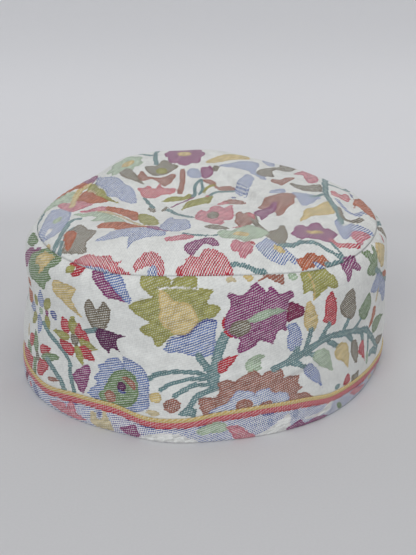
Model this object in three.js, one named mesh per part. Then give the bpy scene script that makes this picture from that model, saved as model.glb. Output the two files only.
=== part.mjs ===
import * as THREE from 'three';

// A soft round cap of patterned shawl cloth, empty and standing on its rim.
// Millimetres, +Z up, the front toward -Y. Angles are degrees from +X, turning toward +Y.

// Driving sizes
const RIM_RADIUS = 92.9;
const SEAM_HEIGHT = 77.0;
const CLOTH = 2.2;
const BAND_PROUD = 0.4;
const STRIPE_HEIGHT = 2.5;
const STRIPE_PROUD = 0.6;
const HEM_ROUND = 0.8;
const SEAT_GAP = 0.3;
const RIM_FADE = 0.45;
const CROWN_MIDDLE_LIFT = 0.9;
const CROWN_EDGE_FADE = 0.18;
const CROWN_HEM = 3.0;

// The cap's plan is off centre from the wall's own axis by this much.
const PLAN_SHIFT = { x: 0.9, y: 0.63 };

// Facets round the cap
const SEGMENTS = 84;

// Wall section: share of the seam height, and share of the rim radius there.
const WALL_SECTION = [
  { height: 0.00, radius: 1.000 },
  { height: 0.06, radius: 1.008 },
  { height: 0.20, radius: 1.010 },
  { height: 0.50, radius: 1.002 },
  { height: 0.78, radius: 1.000 },
  { height: 0.90, radius: 0.992 },
  { height: 0.96, radius: 0.972 },
  { height: 1.00, radius: 0.944 },
];

// How far the wall leans toward +X at each share of the seam height.
const LEAN = [
  { height: 0.00, shift: 0.3 },
  { height: 0.15, shift: 1.2 },
  { height: 0.50, shift: 1.4 },
  { height: 0.80, shift: 1.3 },
  { height: 1.00, shift: 1.1 },
];

// Bulges and flats of the rim, which fade up the wall.
const RIM_BULGES = [
  { angle: -152, spread: 20, out: 2.2 },
  { angle: -102, spread: 9, out: 2.6 },
  { angle: -66, spread: 16, out: -1.6 },
  { angle: -31, spread: 15, out: -3.4 },
  { angle: -14, spread: 10, out: -1.8 },
  { angle: 10, spread: 18, out: 1.2 },
];

// Rises and dips of the seam between wall and crown.
const SEAM_WAVES = [
  { angle: -118, spread: 12, rise: -1.2 },
  { angle: -90, spread: 26, rise: 1.4 },
  { angle: -49, spread: 14, rise: -1.2 },
  { angle: 90, spread: 60, rise: 2.0 },
];

// Dents and swells of the wall: where they are, how far they spread, and how far they stand out.
const WALL_DENTS = [
  { angle: -122, spread: 14, height: 0.90, reach: 0.22, out: 2.2 },
  { angle: -112, spread: 7, height: 0.45, reach: 0.50, out: -1.2 },
  { angle: -92, spread: 24, height: 0.95, reach: 0.25, out: -4.5 },
  { angle: -48, spread: 14, height: 0.90, reach: 0.22, out: 2.0 },
  { angle: 8, spread: 16, height: 0.97, reach: 0.20, out: -1.6 },
  { angle: 38, spread: 13, height: 0.50, reach: 0.40, out: -1.4 },
  { angle: 96, spread: 20, height: 0.80, reach: 0.30, out: -2.0 },
  { angle: 150, spread: 12, height: 0.55, reach: 0.40, out: -1.2 },
  { angle: 172, spread: 22, height: 0.97, reach: 0.28, out: -4.0 },
];

// Height of the border strip's patterned part round the rim, below its two stripes.
const BORDER_HEIGHTS = [
  { angle: -154, top: 7.6 },
  { angle: -145, top: 6.8 },
  { angle: -130, top: 10.2 },
  { angle: -118, top: 10.8 },
  { angle: -106, top: 7.9 },
  { angle: -95, top: 8.9 },
  { angle: -86, top: 11.4 },
  { angle: -73, top: 12.5 },
  { angle: -61, top: 11.6 },
  { angle: -48, top: 8.6 },
  { angle: -37, top: 8.2 },
  { angle: -20, top: 6.3 },
  { angle: -7, top: 4.6 },
  { angle: 18, top: 7.2 },
  { angle: 62, top: 9.8 },
  { angle: 110, top: 8.4 },
  { angle: 160, top: 9.6 },
  { angle: 206, top: 7.6 },
];

// Crown section: share of the way from the middle to the seam, and rise above the seam.
const CROWN_SECTION = [
  { reach: 0.000, rise: 15.0 },
  { reach: 0.250, rise: 14.8 },
  { reach: 0.500, rise: 13.2 },
  { reach: 0.700, rise: 10.4 },
  { reach: 0.820, rise: 7.8 },
  { reach: 0.910, rise: 5.0 },
  { reach: 0.965, rise: 2.6 },
  { reach: 1.000, rise: 0.0 },
];

// Hollows and ridges of the crown: middle, direction, half length and half width, and rise.
const CROWN_FOLDS = [
  { x: -26, y: -14, turn: 8, length: 34, width: 18, rise: -7.0 },
  { x: -8, y: 50, turn: 0, length: 44, width: 18, rise: 7.5 },
  { x: -68, y: 30, turn: 58, length: 20, width: 11, rise: -7.0 },
  { x: 58, y: 50, turn: -45, length: 30, width: 14, rise: -3.5 },
  { x: 52, y: 6, turn: 70, length: 34, width: 16, rise: 3.5 },
  { x: 0, y: -64, turn: 0, length: 44, width: 12, rise: 2.0 },
];

// A crease crosses the crown from back to front, and the cloth outside it stands over the inside.
const CREASE_PATH = [
  { x: -5, y: 40 },
  { x: 12, y: 18 },
  { x: 22, y: -4 },
  { x: 30, y: -22 },
  { x: 44, y: -38 },
];
const CREASE = { lip: 2.2, lipWidth: 11, hollow: 1.6, hollowWidth: 9, soft: 8 };

// Where the rings of facets lie: shares of the wall from its foot to the seam, of the border
// strip from its hem to its stripes, and of the crown from its middle to its edge.
const WALL_RINGS_OUT = [0, 0.12, 0.25, 0.4, 0.55, 0.7, 0.82, 0.9, 0.95, 0.98, 1];
const WALL_RINGS_IN = [0, 0.22, 0.5, 0.78, 0.92, 1];
const CROWN_RINGS_OUT = [0.1, 0.2, 0.3, 0.4, 0.49, 0.58, 0.66, 0.74, 0.81, 0.87, 0.92, 0.96, 1];
const CROWN_RINGS_IN = [0.93, 0.85, 0.74, 0.61, 0.46, 0.3, 0.15];

const bell = (distance, spread) => Math.exp(-0.5 * (distance / spread) ** 2);
const radians = (degrees) => (degrees * Math.PI) / 180;
const degreesBetween = (a, b) => ((((a - b) % 360) + 540) % 360) - 180;
const clampShare = (value) => Math.min(Math.max(value, 0), 1);

function smoothStep(value) {
  const share = clampShare(value);
  return share * share * (3 - 2 * share);
}

// A smooth curve through a table's rows that never swings past them.
function curveThrough(rows, across, up) {
  const xs = rows.map((row) => row[across]);
  const ys = rows.map((row) => row[up]);
  const last = xs.length - 1;
  const steps = rows.slice(1).map((row, i) => (ys[i + 1] - ys[i]) / (xs[i + 1] - xs[i]));
  const slopes = xs.map((x, i) => {
    const before = steps[Math.max(i - 1, 0)];
    const after = steps[Math.min(i, last - 1)];
    return before * after <= 0 ? 0 : (2 * before * after) / (before + after);
  });
  return (x) => {
    const at = Math.min(Math.max(x, xs[0]), xs[last]);
    const i = Math.min(xs.filter((value) => value <= at).length - 1, last - 1);
    const span = xs[i + 1] - xs[i];
    const t = (at - xs[i]) / span;
    const rise = smoothStep(t);
    const leave = t * (1 - t) ** 2;
    const arrive = t * t * (t - 1);
    return ys[i] * (1 - rise) + ys[i + 1] * rise + span * (slopes[i] * leave + slopes[i + 1] * arrive);
  };
}

const wallSection = curveThrough(WALL_SECTION, 'height', 'radius');
const leanShift = curveThrough(LEAN, 'height', 'shift');
const crownSection = curveThrough(CROWN_SECTION, 'reach', 'rise');
const borderCurve = curveThrough(BORDER_HEIGHTS, 'angle', 'top');

function seamHeight(angle) {
  return SEAM_WAVES.reduce(
    (height, wave) => height + wave.rise * bell(degreesBetween(angle, wave.angle), wave.spread),
    SEAM_HEIGHT,
  );
}

function borderTop(angle) {
  const start = BORDER_HEIGHTS[0].angle;
  return borderCurve(start + ((((angle - start) % 360) + 360) % 360));
}

function wallRadius(angle, share) {
  let radius = RIM_RADIUS * wallSection(share);
  for (const bulge of RIM_BULGES) {
    const around = bell(degreesBetween(angle, bulge.angle), bulge.spread);
    radius += bulge.out * around * bell(share, RIM_FADE);
  }
  for (const dent of WALL_DENTS) {
    const around = bell(degreesBetween(angle, dent.angle), dent.spread);
    radius += dent.out * around * bell(share - dent.height, dent.reach);
  }
  return radius;
}

// A point of the wall at a height, moved outward from the cloth's outer face.
function wallPoint(angle, height, outward) {
  const share = height / seamHeight(angle);
  const radius = wallRadius(angle, share) + outward;
  const x = radius * Math.cos(radians(angle)) + leanShift(share) - PLAN_SHIFT.x;
  const y = radius * Math.sin(radians(angle)) + PLAN_SHIFT.y;
  return new THREE.Vector3(x, y, height);
}

// Signed distance from the crease, positive on its outer side, and 1 along it, 0 past its ends.
function fromCrease(x, y) {
  let nearest = { distance: Infinity, signed: 0, along: 0 };
  const legs = CREASE_PATH.length - 1;
  for (let leg = 0; leg < legs; leg += 1) {
    const start = CREASE_PATH[leg];
    const end = CREASE_PATH[leg + 1];
    const dx = end.x - start.x;
    const dy = end.y - start.y;
    const share = clampShare(((x - start.x) * dx + (y - start.y) * dy) / (dx * dx + dy * dy));
    const offX = x - start.x - share * dx;
    const offY = y - start.y - share * dy;
    const distance = Math.hypot(offX, offY);
    if (distance < nearest.distance) {
      const side = dx * offY - dy * offX > 0 ? 1 : -1;
      nearest = { distance, signed: side * distance, along: (leg + share) / legs };
    }
  }
  return { signed: nearest.signed, middle: Math.sin(Math.PI * nearest.along) };
}

function creaseRise(x, y) {
  const { signed, middle } = fromCrease(x, y);
  const outside = smoothStep(signed / CREASE.soft + 0.5);
  const lip = CREASE.lip * outside * bell(signed, CREASE.lipWidth);
  const hollow = CREASE.hollow * (1 - outside) * bell(signed, CREASE.hollowWidth);
  return middle * (lip - hollow);
}

// A point of the crown's outer face at a share of the way from its middle to its edge.
function crownPoint(angle, reach) {
  const radius = reach * wallRadius(angle, 1);
  const x = radius * Math.cos(radians(angle)) + leanShift(1);
  const y = radius * Math.sin(radians(angle));
  const edge = seamHeight(angle) * reach ** 2;
  const middle = (SEAM_HEIGHT + CROWN_MIDDLE_LIFT) * (1 - reach ** 2);
  const fade = smoothStep((1 - reach) / CROWN_EDGE_FADE);
  let folds = creaseRise(x, y);
  for (const fold of CROWN_FOLDS) {
    const cos = Math.cos(radians(fold.turn));
    const sin = Math.sin(radians(fold.turn));
    const along = (x - fold.x) * cos + (y - fold.y) * sin;
    const beside = (y - fold.y) * cos - (x - fold.x) * sin;
    folds += fold.rise * bell(along, fold.length) * bell(beside, fold.width);
  }
  const z = edge + middle + crownSection(reach) + folds * fade + SEAT_GAP;
  return new THREE.Vector3(x - PLAN_SHIFT.x, y + PLAN_SHIFT.y, z);
}

function ringOf(pointAt) {
  return Array.from({ length: SEGMENTS }, (_, i) => pointAt((360 * i) / SEGMENTS));
}

// A closed skin over rings of points. A ring of one point is a pole, and without poles the last
// ring joins the first. The rings run down the outer face and back up the inner one.
function skin(rings) {
  const points = rings.flat();
  const starts = [];
  rings.reduce((start, ring) => {
    starts.push(start);
    return start + ring.length;
  }, 0);
  const faces = [];
  const joinRings = (a, b) => {
    for (let i = 0; i < SEGMENTS; i += 1) {
      const next = (i + 1) % SEGMENTS;
      const [a0, a1] = rings[a].length > 1 ? [starts[a] + i, starts[a] + next] : [starts[a], starts[a]];
      const [b0, b1] = rings[b].length > 1 ? [starts[b] + i, starts[b] + next] : [starts[b], starts[b]];
      if (b0 !== b1) faces.push(a0, b0, b1);
      if (a0 !== a1) faces.push(a0, b1, a1);
    }
  };
  for (let i = 0; i + 1 < rings.length; i += 1) joinRings(i, i + 1);
  if (rings[0].length > 1) joinRings(rings.length - 1, 0);
  const geometry = new THREE.BufferGeometry();
  geometry.setAttribute('position', new THREE.Float32BufferAttribute(points.flatMap((p) => p.toArray()), 3));
  geometry.setIndex(faces);
  geometry.computeVertexNormals();
  return geometry;
}

// The domed top, a sheet whose edge is turned to a flat ring over the wall's top.
function crownPanel() {
  const middle = crownPoint(0, 0);
  const outside = CROWN_RINGS_OUT.map((reach) => ringOf((angle) => crownPoint(angle, reach)));
  const hemReach = 1 - CROWN_HEM / RIM_RADIUS;
  const hem = ringOf((angle) => crownPoint(angle, hemReach).setZ(seamHeight(angle) + SEAT_GAP));
  const down = new THREE.Vector3(0, 0, -CLOTH);
  const inside = CROWN_RINGS_IN.map((reach) => ringOf((angle) => crownPoint(angle, reach).add(down)));
  return skin([[middle], ...outside, hem, ...inside, [middle.clone().add(down)]]);
}

// The upright side, from the border strip's stripes to the seam.
function sideWall() {
  const ringAt = (share, outward) => ringOf((angle) => {
    const foot = borderTop(angle) + 2 * STRIPE_HEIGHT + SEAT_GAP;
    return wallPoint(angle, foot + share * (seamHeight(angle) - foot), outward);
  });
  const outside = WALL_RINGS_OUT.toReversed().map((share) => ringAt(share, 0));
  const inside = WALL_RINGS_IN.map((share) => ringAt(share, -CLOTH));
  return skin([...outside, ...inside]);
}

// The border strip round the rim, with two cord-like stripes along its top and a folded hem.
function borderBand() {
  const ringAt = (heightAt, outward) => ringOf((angle) => wallPoint(angle, heightAt(angle), outward));
  const aboveBorder = (rise) => (angle) => borderTop(angle) + rise;
  const cord = BAND_PROUD + STRIPE_PROUD;
  return skin([
    ringAt(aboveBorder(2 * STRIPE_HEIGHT), BAND_PROUD),
    ringAt(aboveBorder(1.5 * STRIPE_HEIGHT), cord),
    ringAt(aboveBorder(STRIPE_HEIGHT), BAND_PROUD),
    ringAt(aboveBorder(0.5 * STRIPE_HEIGHT), cord),
    ringAt(aboveBorder(0), BAND_PROUD),
    ringAt((angle) => borderTop(angle) / 2, BAND_PROUD),
    ringAt(() => HEM_ROUND, BAND_PROUD),
    ringAt(() => 0, BAND_PROUD - HEM_ROUND),
    ringAt(() => 0, HEM_ROUND / 2 - CLOTH),
    ringAt(() => HEM_ROUND, -CLOTH),
    ringAt(aboveBorder(2 * STRIPE_HEIGHT), -CLOTH),
  ]);
}

function piece(name, geometry, finish) {
  const mesh = new THREE.Mesh(geometry, new THREE.MeshStandardMaterial(finish));
  mesh.name = name;
  return mesh;
}

const ivoryCloth = { color: '#e4e2da', roughness: 0.92, metalness: 0 };
const borderCloth = { color: '#8c95b8', roughness: 0.9, metalness: 0 };

const cap = new THREE.Group();
cap.add(
  piece('crown_panel', crownPanel(), ivoryCloth),
  piece('side_wall', sideWall(), ivoryCloth),
  piece('border_band', borderBand(), borderCloth),
);

export default cap;
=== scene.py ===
"""A soft round cap of flower-patterned shawl cloth, standing empty on its rim.

The form is worked out in millimetres, +Z up and the front toward -Y, and the meshes are made in
metres. Angles are degrees from +X, turning toward +Y.
"""

import math
from collections import namedtuple

import bpy
import numpy as np
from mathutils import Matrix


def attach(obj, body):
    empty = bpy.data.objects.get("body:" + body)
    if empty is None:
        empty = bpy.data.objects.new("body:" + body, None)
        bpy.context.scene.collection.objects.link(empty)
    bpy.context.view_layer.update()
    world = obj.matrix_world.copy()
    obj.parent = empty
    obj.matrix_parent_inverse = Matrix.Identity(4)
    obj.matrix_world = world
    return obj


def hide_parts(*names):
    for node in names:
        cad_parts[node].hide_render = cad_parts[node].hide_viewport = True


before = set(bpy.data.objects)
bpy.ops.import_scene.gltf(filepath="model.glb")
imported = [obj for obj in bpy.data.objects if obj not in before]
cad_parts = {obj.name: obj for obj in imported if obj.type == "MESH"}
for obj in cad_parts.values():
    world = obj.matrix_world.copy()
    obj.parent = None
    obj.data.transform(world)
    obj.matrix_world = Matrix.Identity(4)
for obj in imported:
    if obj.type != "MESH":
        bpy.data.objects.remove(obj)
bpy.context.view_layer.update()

bl_info = {
    "name": "Kani Cap",
    "version": (1, 0, 0),
    "blender": (4, 5, 0),
    "location": "View3D > Sidebar > Kani Cap",
    "description": "Builds a soft cap of woven shawl cloth with its crown, side and border",
    "category": "Add Mesh",
}

MM = 0.001

# Driving sizes of the cap, in millimetres
RIM_RADIUS = 92.9
SEAM_HEIGHT = 77.0
BAND_PROUD = 0.4
BAND_RIPPLE = 0.6
RED_STRIPE_HEIGHT = 2.4
YELLOW_STRIPE_HEIGHT = 1.8
STRIPE_PROUD = 0.28
HEM_ROUND = 0.8
SEAT_GAP = 0.05
RIM_FADE = 0.45
CROWN_MIDDLE_LIFT = 0.9
CROWN_EDGE_FADE = 0.18
CROWN_HEM = 3.0
CROWN_INSIDE = (0.93, 0.04)
PLAN_SHIFT = (-0.90, 0.63)
WALL_DEGREE = RIM_RADIUS * math.pi / 180

# Mesh density: columns round the cap and rows up each face
WALL_COLUMNS = 820
WALL_ROWS = 92
CROWN_COLUMNS = 740
CROWN_ROWS = 108
BORDER_ROWS = 20
STRIPE_ROWS = 8
INSIDE_ROWS = 9
HEM_INSIDE_ROWS = 5

# Share of the seam height, and share of the rim radius there
WALL_SECTION = (
    (0.00, 1.000), (0.06, 1.008), (0.20, 1.010), (0.50, 1.002),
    (0.78, 1.000), (0.90, 0.992), (0.96, 0.972), (1.00, 0.944),
)

# Share of the seam height, and how far the wall leans toward +X there
LEAN = ((0.00, 0.3), (0.15, 1.2), (0.50, 1.4), (0.80, 1.3), (1.00, 1.1))

Bulge = namedtuple("Bulge", "angle spread out")
RIM_BULGES = (
    Bulge(-152, 20, 2.2), Bulge(-102, 9, 2.6), Bulge(-66, 16, -1.6),
    Bulge(-31, 15, -3.4), Bulge(-14, 10, -1.8), Bulge(10, 18, 1.2),
)
SEAM_WAVES = (
    Bulge(-118, 12, -1.2), Bulge(-90, 26, 1.4), Bulge(-49, 14, -1.2), Bulge(90, 60, 2.0),
)

Dent = namedtuple("Dent", "angle spread height reach out")
WALL_DENTS = (
    Dent(-122, 14, 0.90, 0.22, 2.2),
    Dent(-112, 7, 0.45, 0.50, -1.2),
    Dent(-92, 24, 0.95, 0.25, -4.5),
    Dent(-48, 14, 0.90, 0.22, 2.0),
    Dent(8, 16, 0.97, 0.20, -1.6),
    Dent(38, 13, 0.50, 0.40, -1.4),
    Dent(96, 20, 0.80, 0.30, -2.0),
    Dent(150, 12, 0.55, 0.40, -1.2),
    Dent(172, 22, 0.97, 0.28, -4.0),
)

# Angle round the rim, and height of the border's patterned part there
BORDER_HEIGHTS = (
    (-154, 7.6), (-145, 6.8), (-130, 10.2), (-118, 10.8), (-106, 7.9), (-95, 8.9),
    (-86, 11.4), (-73, 12.5), (-61, 11.6), (-48, 8.6), (-37, 8.2), (-20, 6.3),
    (-7, 4.6), (18, 7.2), (62, 9.8), (110, 8.4), (160, 9.6), (206, 7.6),
)

# Share of the way from the crown's middle to the seam, and rise above the seam
CROWN_SECTION = (
    (0.000, 15.0), (0.250, 14.8), (0.500, 13.2), (0.700, 10.4),
    (0.820, 7.8), (0.910, 5.0), (0.965, 2.6), (1.000, 0.0),
)

Fold = namedtuple("Fold", "x y turn length width rise")
CROWN_FOLDS = (
    Fold(-26, -14, 8, 34, 18, -7.0),
    Fold(-8, 50, 0, 44, 18, 7.5),
    Fold(-68, 30, 58, 20, 11, -7.0),
    Fold(58, 50, -45, 30, 14, -3.5),
    Fold(52, 6, 70, 34, 16, 3.5),
    Fold(0, -64, 0, 44, 12, 2.0),
)

CREASE_PATH = ((-5, 40), (12, 18), (22, -4), (30, -22), (44, -38))
CREASE = {"lip": 2.2, "lip_width": 11, "hollow": 1.6, "hollow_width": 9, "soft": 3.0}

# Fine wrinkles that only the cloth's surface has. On the wall x is the angle and y the height.
CROWN_WRINKLES = (
    Fold(-46, 52, 20, 20, 12, 2.4),
    Fold(-60, -18, 78, 16, 2.2, -0.8),
    Fold(-66, -46, 60, 10, 1.6, -0.6),
    Fold(-34, -52, 12, 26, 3.4, 0.7),
    Fold(-52, -30, -24, 16, 3.0, 0.6),
    Fold(2, -14, 20, 16, 2.6, -0.5),
    Fold(38, 28, 66, 14, 2.4, 0.7),
    Fold(20, 40, 12, 18, 2.6, -0.6),
    Fold(-20, 20, -14, 20, 3.2, 0.6),
    Fold(66, -30, 70, 16, 2.4, -0.6),
    Fold(-44, 14, 24, 18, 3.0, -0.5),
    Fold(56, -56, -38, 12, 2.2, 0.5),
    Fold(14, -40, 84, 12, 2.4, -0.5),
)
WALL_WRINKLES = (
    Fold(-178, 63, 0, 32, 7, 1.6),
    Fold(-178, 43, 0, 32, 9, -1.4),
    Fold(-107, 58, 90, 16, 1.5, 0.4),
    Fold(-64, 31.5, 14, 9, 1.3, 0.7),
    Fold(-63, 28.5, 10, 8, 1.2, -0.6),
    Fold(-80, 33.5, 8, 8, 1.2, 0.5),
    Fold(-79, 36.5, 12, 9, 1.4, -0.4),
    Fold(-110, 44, -16, 14, 1.8, -0.4),
    Fold(-107, 40, -12, 14, 1.8, 0.4),
    Fold(-120, 66, 30, 8, 2.0, 0.5),
    Fold(-98, 70, 84, 8, 1.8, -0.5),
    Fold(-70, 66, 80, 9, 2.2, 0.4),
    Fold(-46, 58, 76, 12, 2.4, -0.5),
    Fold(-30, 40, 70, 14, 2.6, 0.5),
    Fold(-140, 40, 84, 14, 2.4, -0.5),
    Fold(-150, 62, 74, 10, 2.2, 0.5),
    Fold(20, 50, 78, 16, 3.0, 0.5),
    Fold(60, 40, 84, 14, 2.6, -0.5),
    Fold(110, 52, 80, 16, 3.0, 0.5),
    Fold(148, 44, 96, 14, 2.6, -0.5),
    Fold(-176, 50, 84, 16, 2.6, 0.5),
)

# The ripple of unpressed cloth, and how far from the seam and the foot the wall's relief fades
RIPPLE = {"slow": 0.46, "quick": 0.17}
RELIEF_FADE = {"seam": 6.0, "foot": 14.0, "foot_reach": 8.0}
CROWN_RIPPLE_SHIFT = 40.0

# The seam's gathers, the tuck where the cloth turns into it, and the stitches below it
PUCKER = {"rise": 0.34, "pitch": 6.5, "fade": 5.0}
SEAM_TUCK = {"depth": 0.32, "reach": 0.9, "crown_share": 0.4}
TOP_STITCH = {"start": -104, "end": -93, "step": 2.1, "length": 1.3, "width": 0.8, "below": 4.4}

# Yarn colours as a dyer would see them, 0 to 255, and how strongly pale threads show between
Yarn = namedtuple("Yarn", "red green blue pale")
YARNS = {
    "ivory": Yarn(243, 244, 240, 0.00),
    "teal": Yarn(108, 142, 144, 0.19),
    "olive": Yarn(165, 163, 94, 0.11),
    "mint": Yarn(164, 187, 156, 0.25),
    "leaf": Yarn(112, 140, 94, 0.20),
    "blue": Yarn(96, 120, 180, 0.34),
    "navy": Yarn(46, 66, 146, 0.30),
    "red": Yarn(190, 42, 60, 0.19),
    "rose": Yarn(196, 56, 78, 0.27),
    "pink": Yarn(204, 115, 131, 0.20),
    "purple": Yarn(140, 56, 114, 0.20),
    "plum": Yarn(98, 42, 86, 0.09),
    "wine": Yarn(130, 42, 82, 0.09),
    "brick": Yarn(162, 106, 90, 0.19),
    "taupe": Yarn(119, 108, 88, 0.22),
    "yellow": Yarn(214, 191, 129, 0.18),
    "cream": Yarn(214, 200, 162, 0.12),
    "orange": Yarn(186, 106, 74, 0.10),
    "sky": Yarn(128, 144, 196, 0.42),
    "denim": Yarn(64, 88, 172, 0.44),
    "lavender": Yarn(104, 94, 168, 0.44),
}

# How far out a motif's edge is followed, and the angle past which a motif is also drawn at -180
EDGE_REACH = 4.0
WRAP_ANGLE = 176

# Motifs of the weave. On the wall and border x is the angle and y the height; on the crown both
# are places in its plan. Widths are always millimetres.
Motif = namedtuple("Motif", "yarn form points width bend")


def shape(yarn, *points):
    """A motif with a smooth outline through its points."""
    return Motif(yarn, "shape", points, 0, 0)


def patch(yarn, *points):
    """A motif with straight sides between its points."""
    return Motif(yarn, "patch", points, 0, 0)


def stem(yarn, width, *points):
    """A line of yarn of one width along a smooth path."""
    return Motif(yarn, "stem", points, width, 0)


def blade(yarn, width, foot, tip, bend=0.0):
    """A pointed leaf from its foot to its tip, its middle moved sideways by the bend."""
    return Motif(yarn, "blade", (foot, tip), width, bend)


def disc(yarn, middle, wide, tall, turn=0.0):
    """A round or oval spot."""
    return Motif(yarn, "disc", (middle, (wide, tall)), 0, turn)


def rosette(yarn, middle, across, petals, depth=0.2, turn=0.0, squash=1.0):
    """A flower with a scalloped outline."""
    return Motif(yarn, "rosette", (middle, (across, squash), (petals, depth)), 0, turn)


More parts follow.
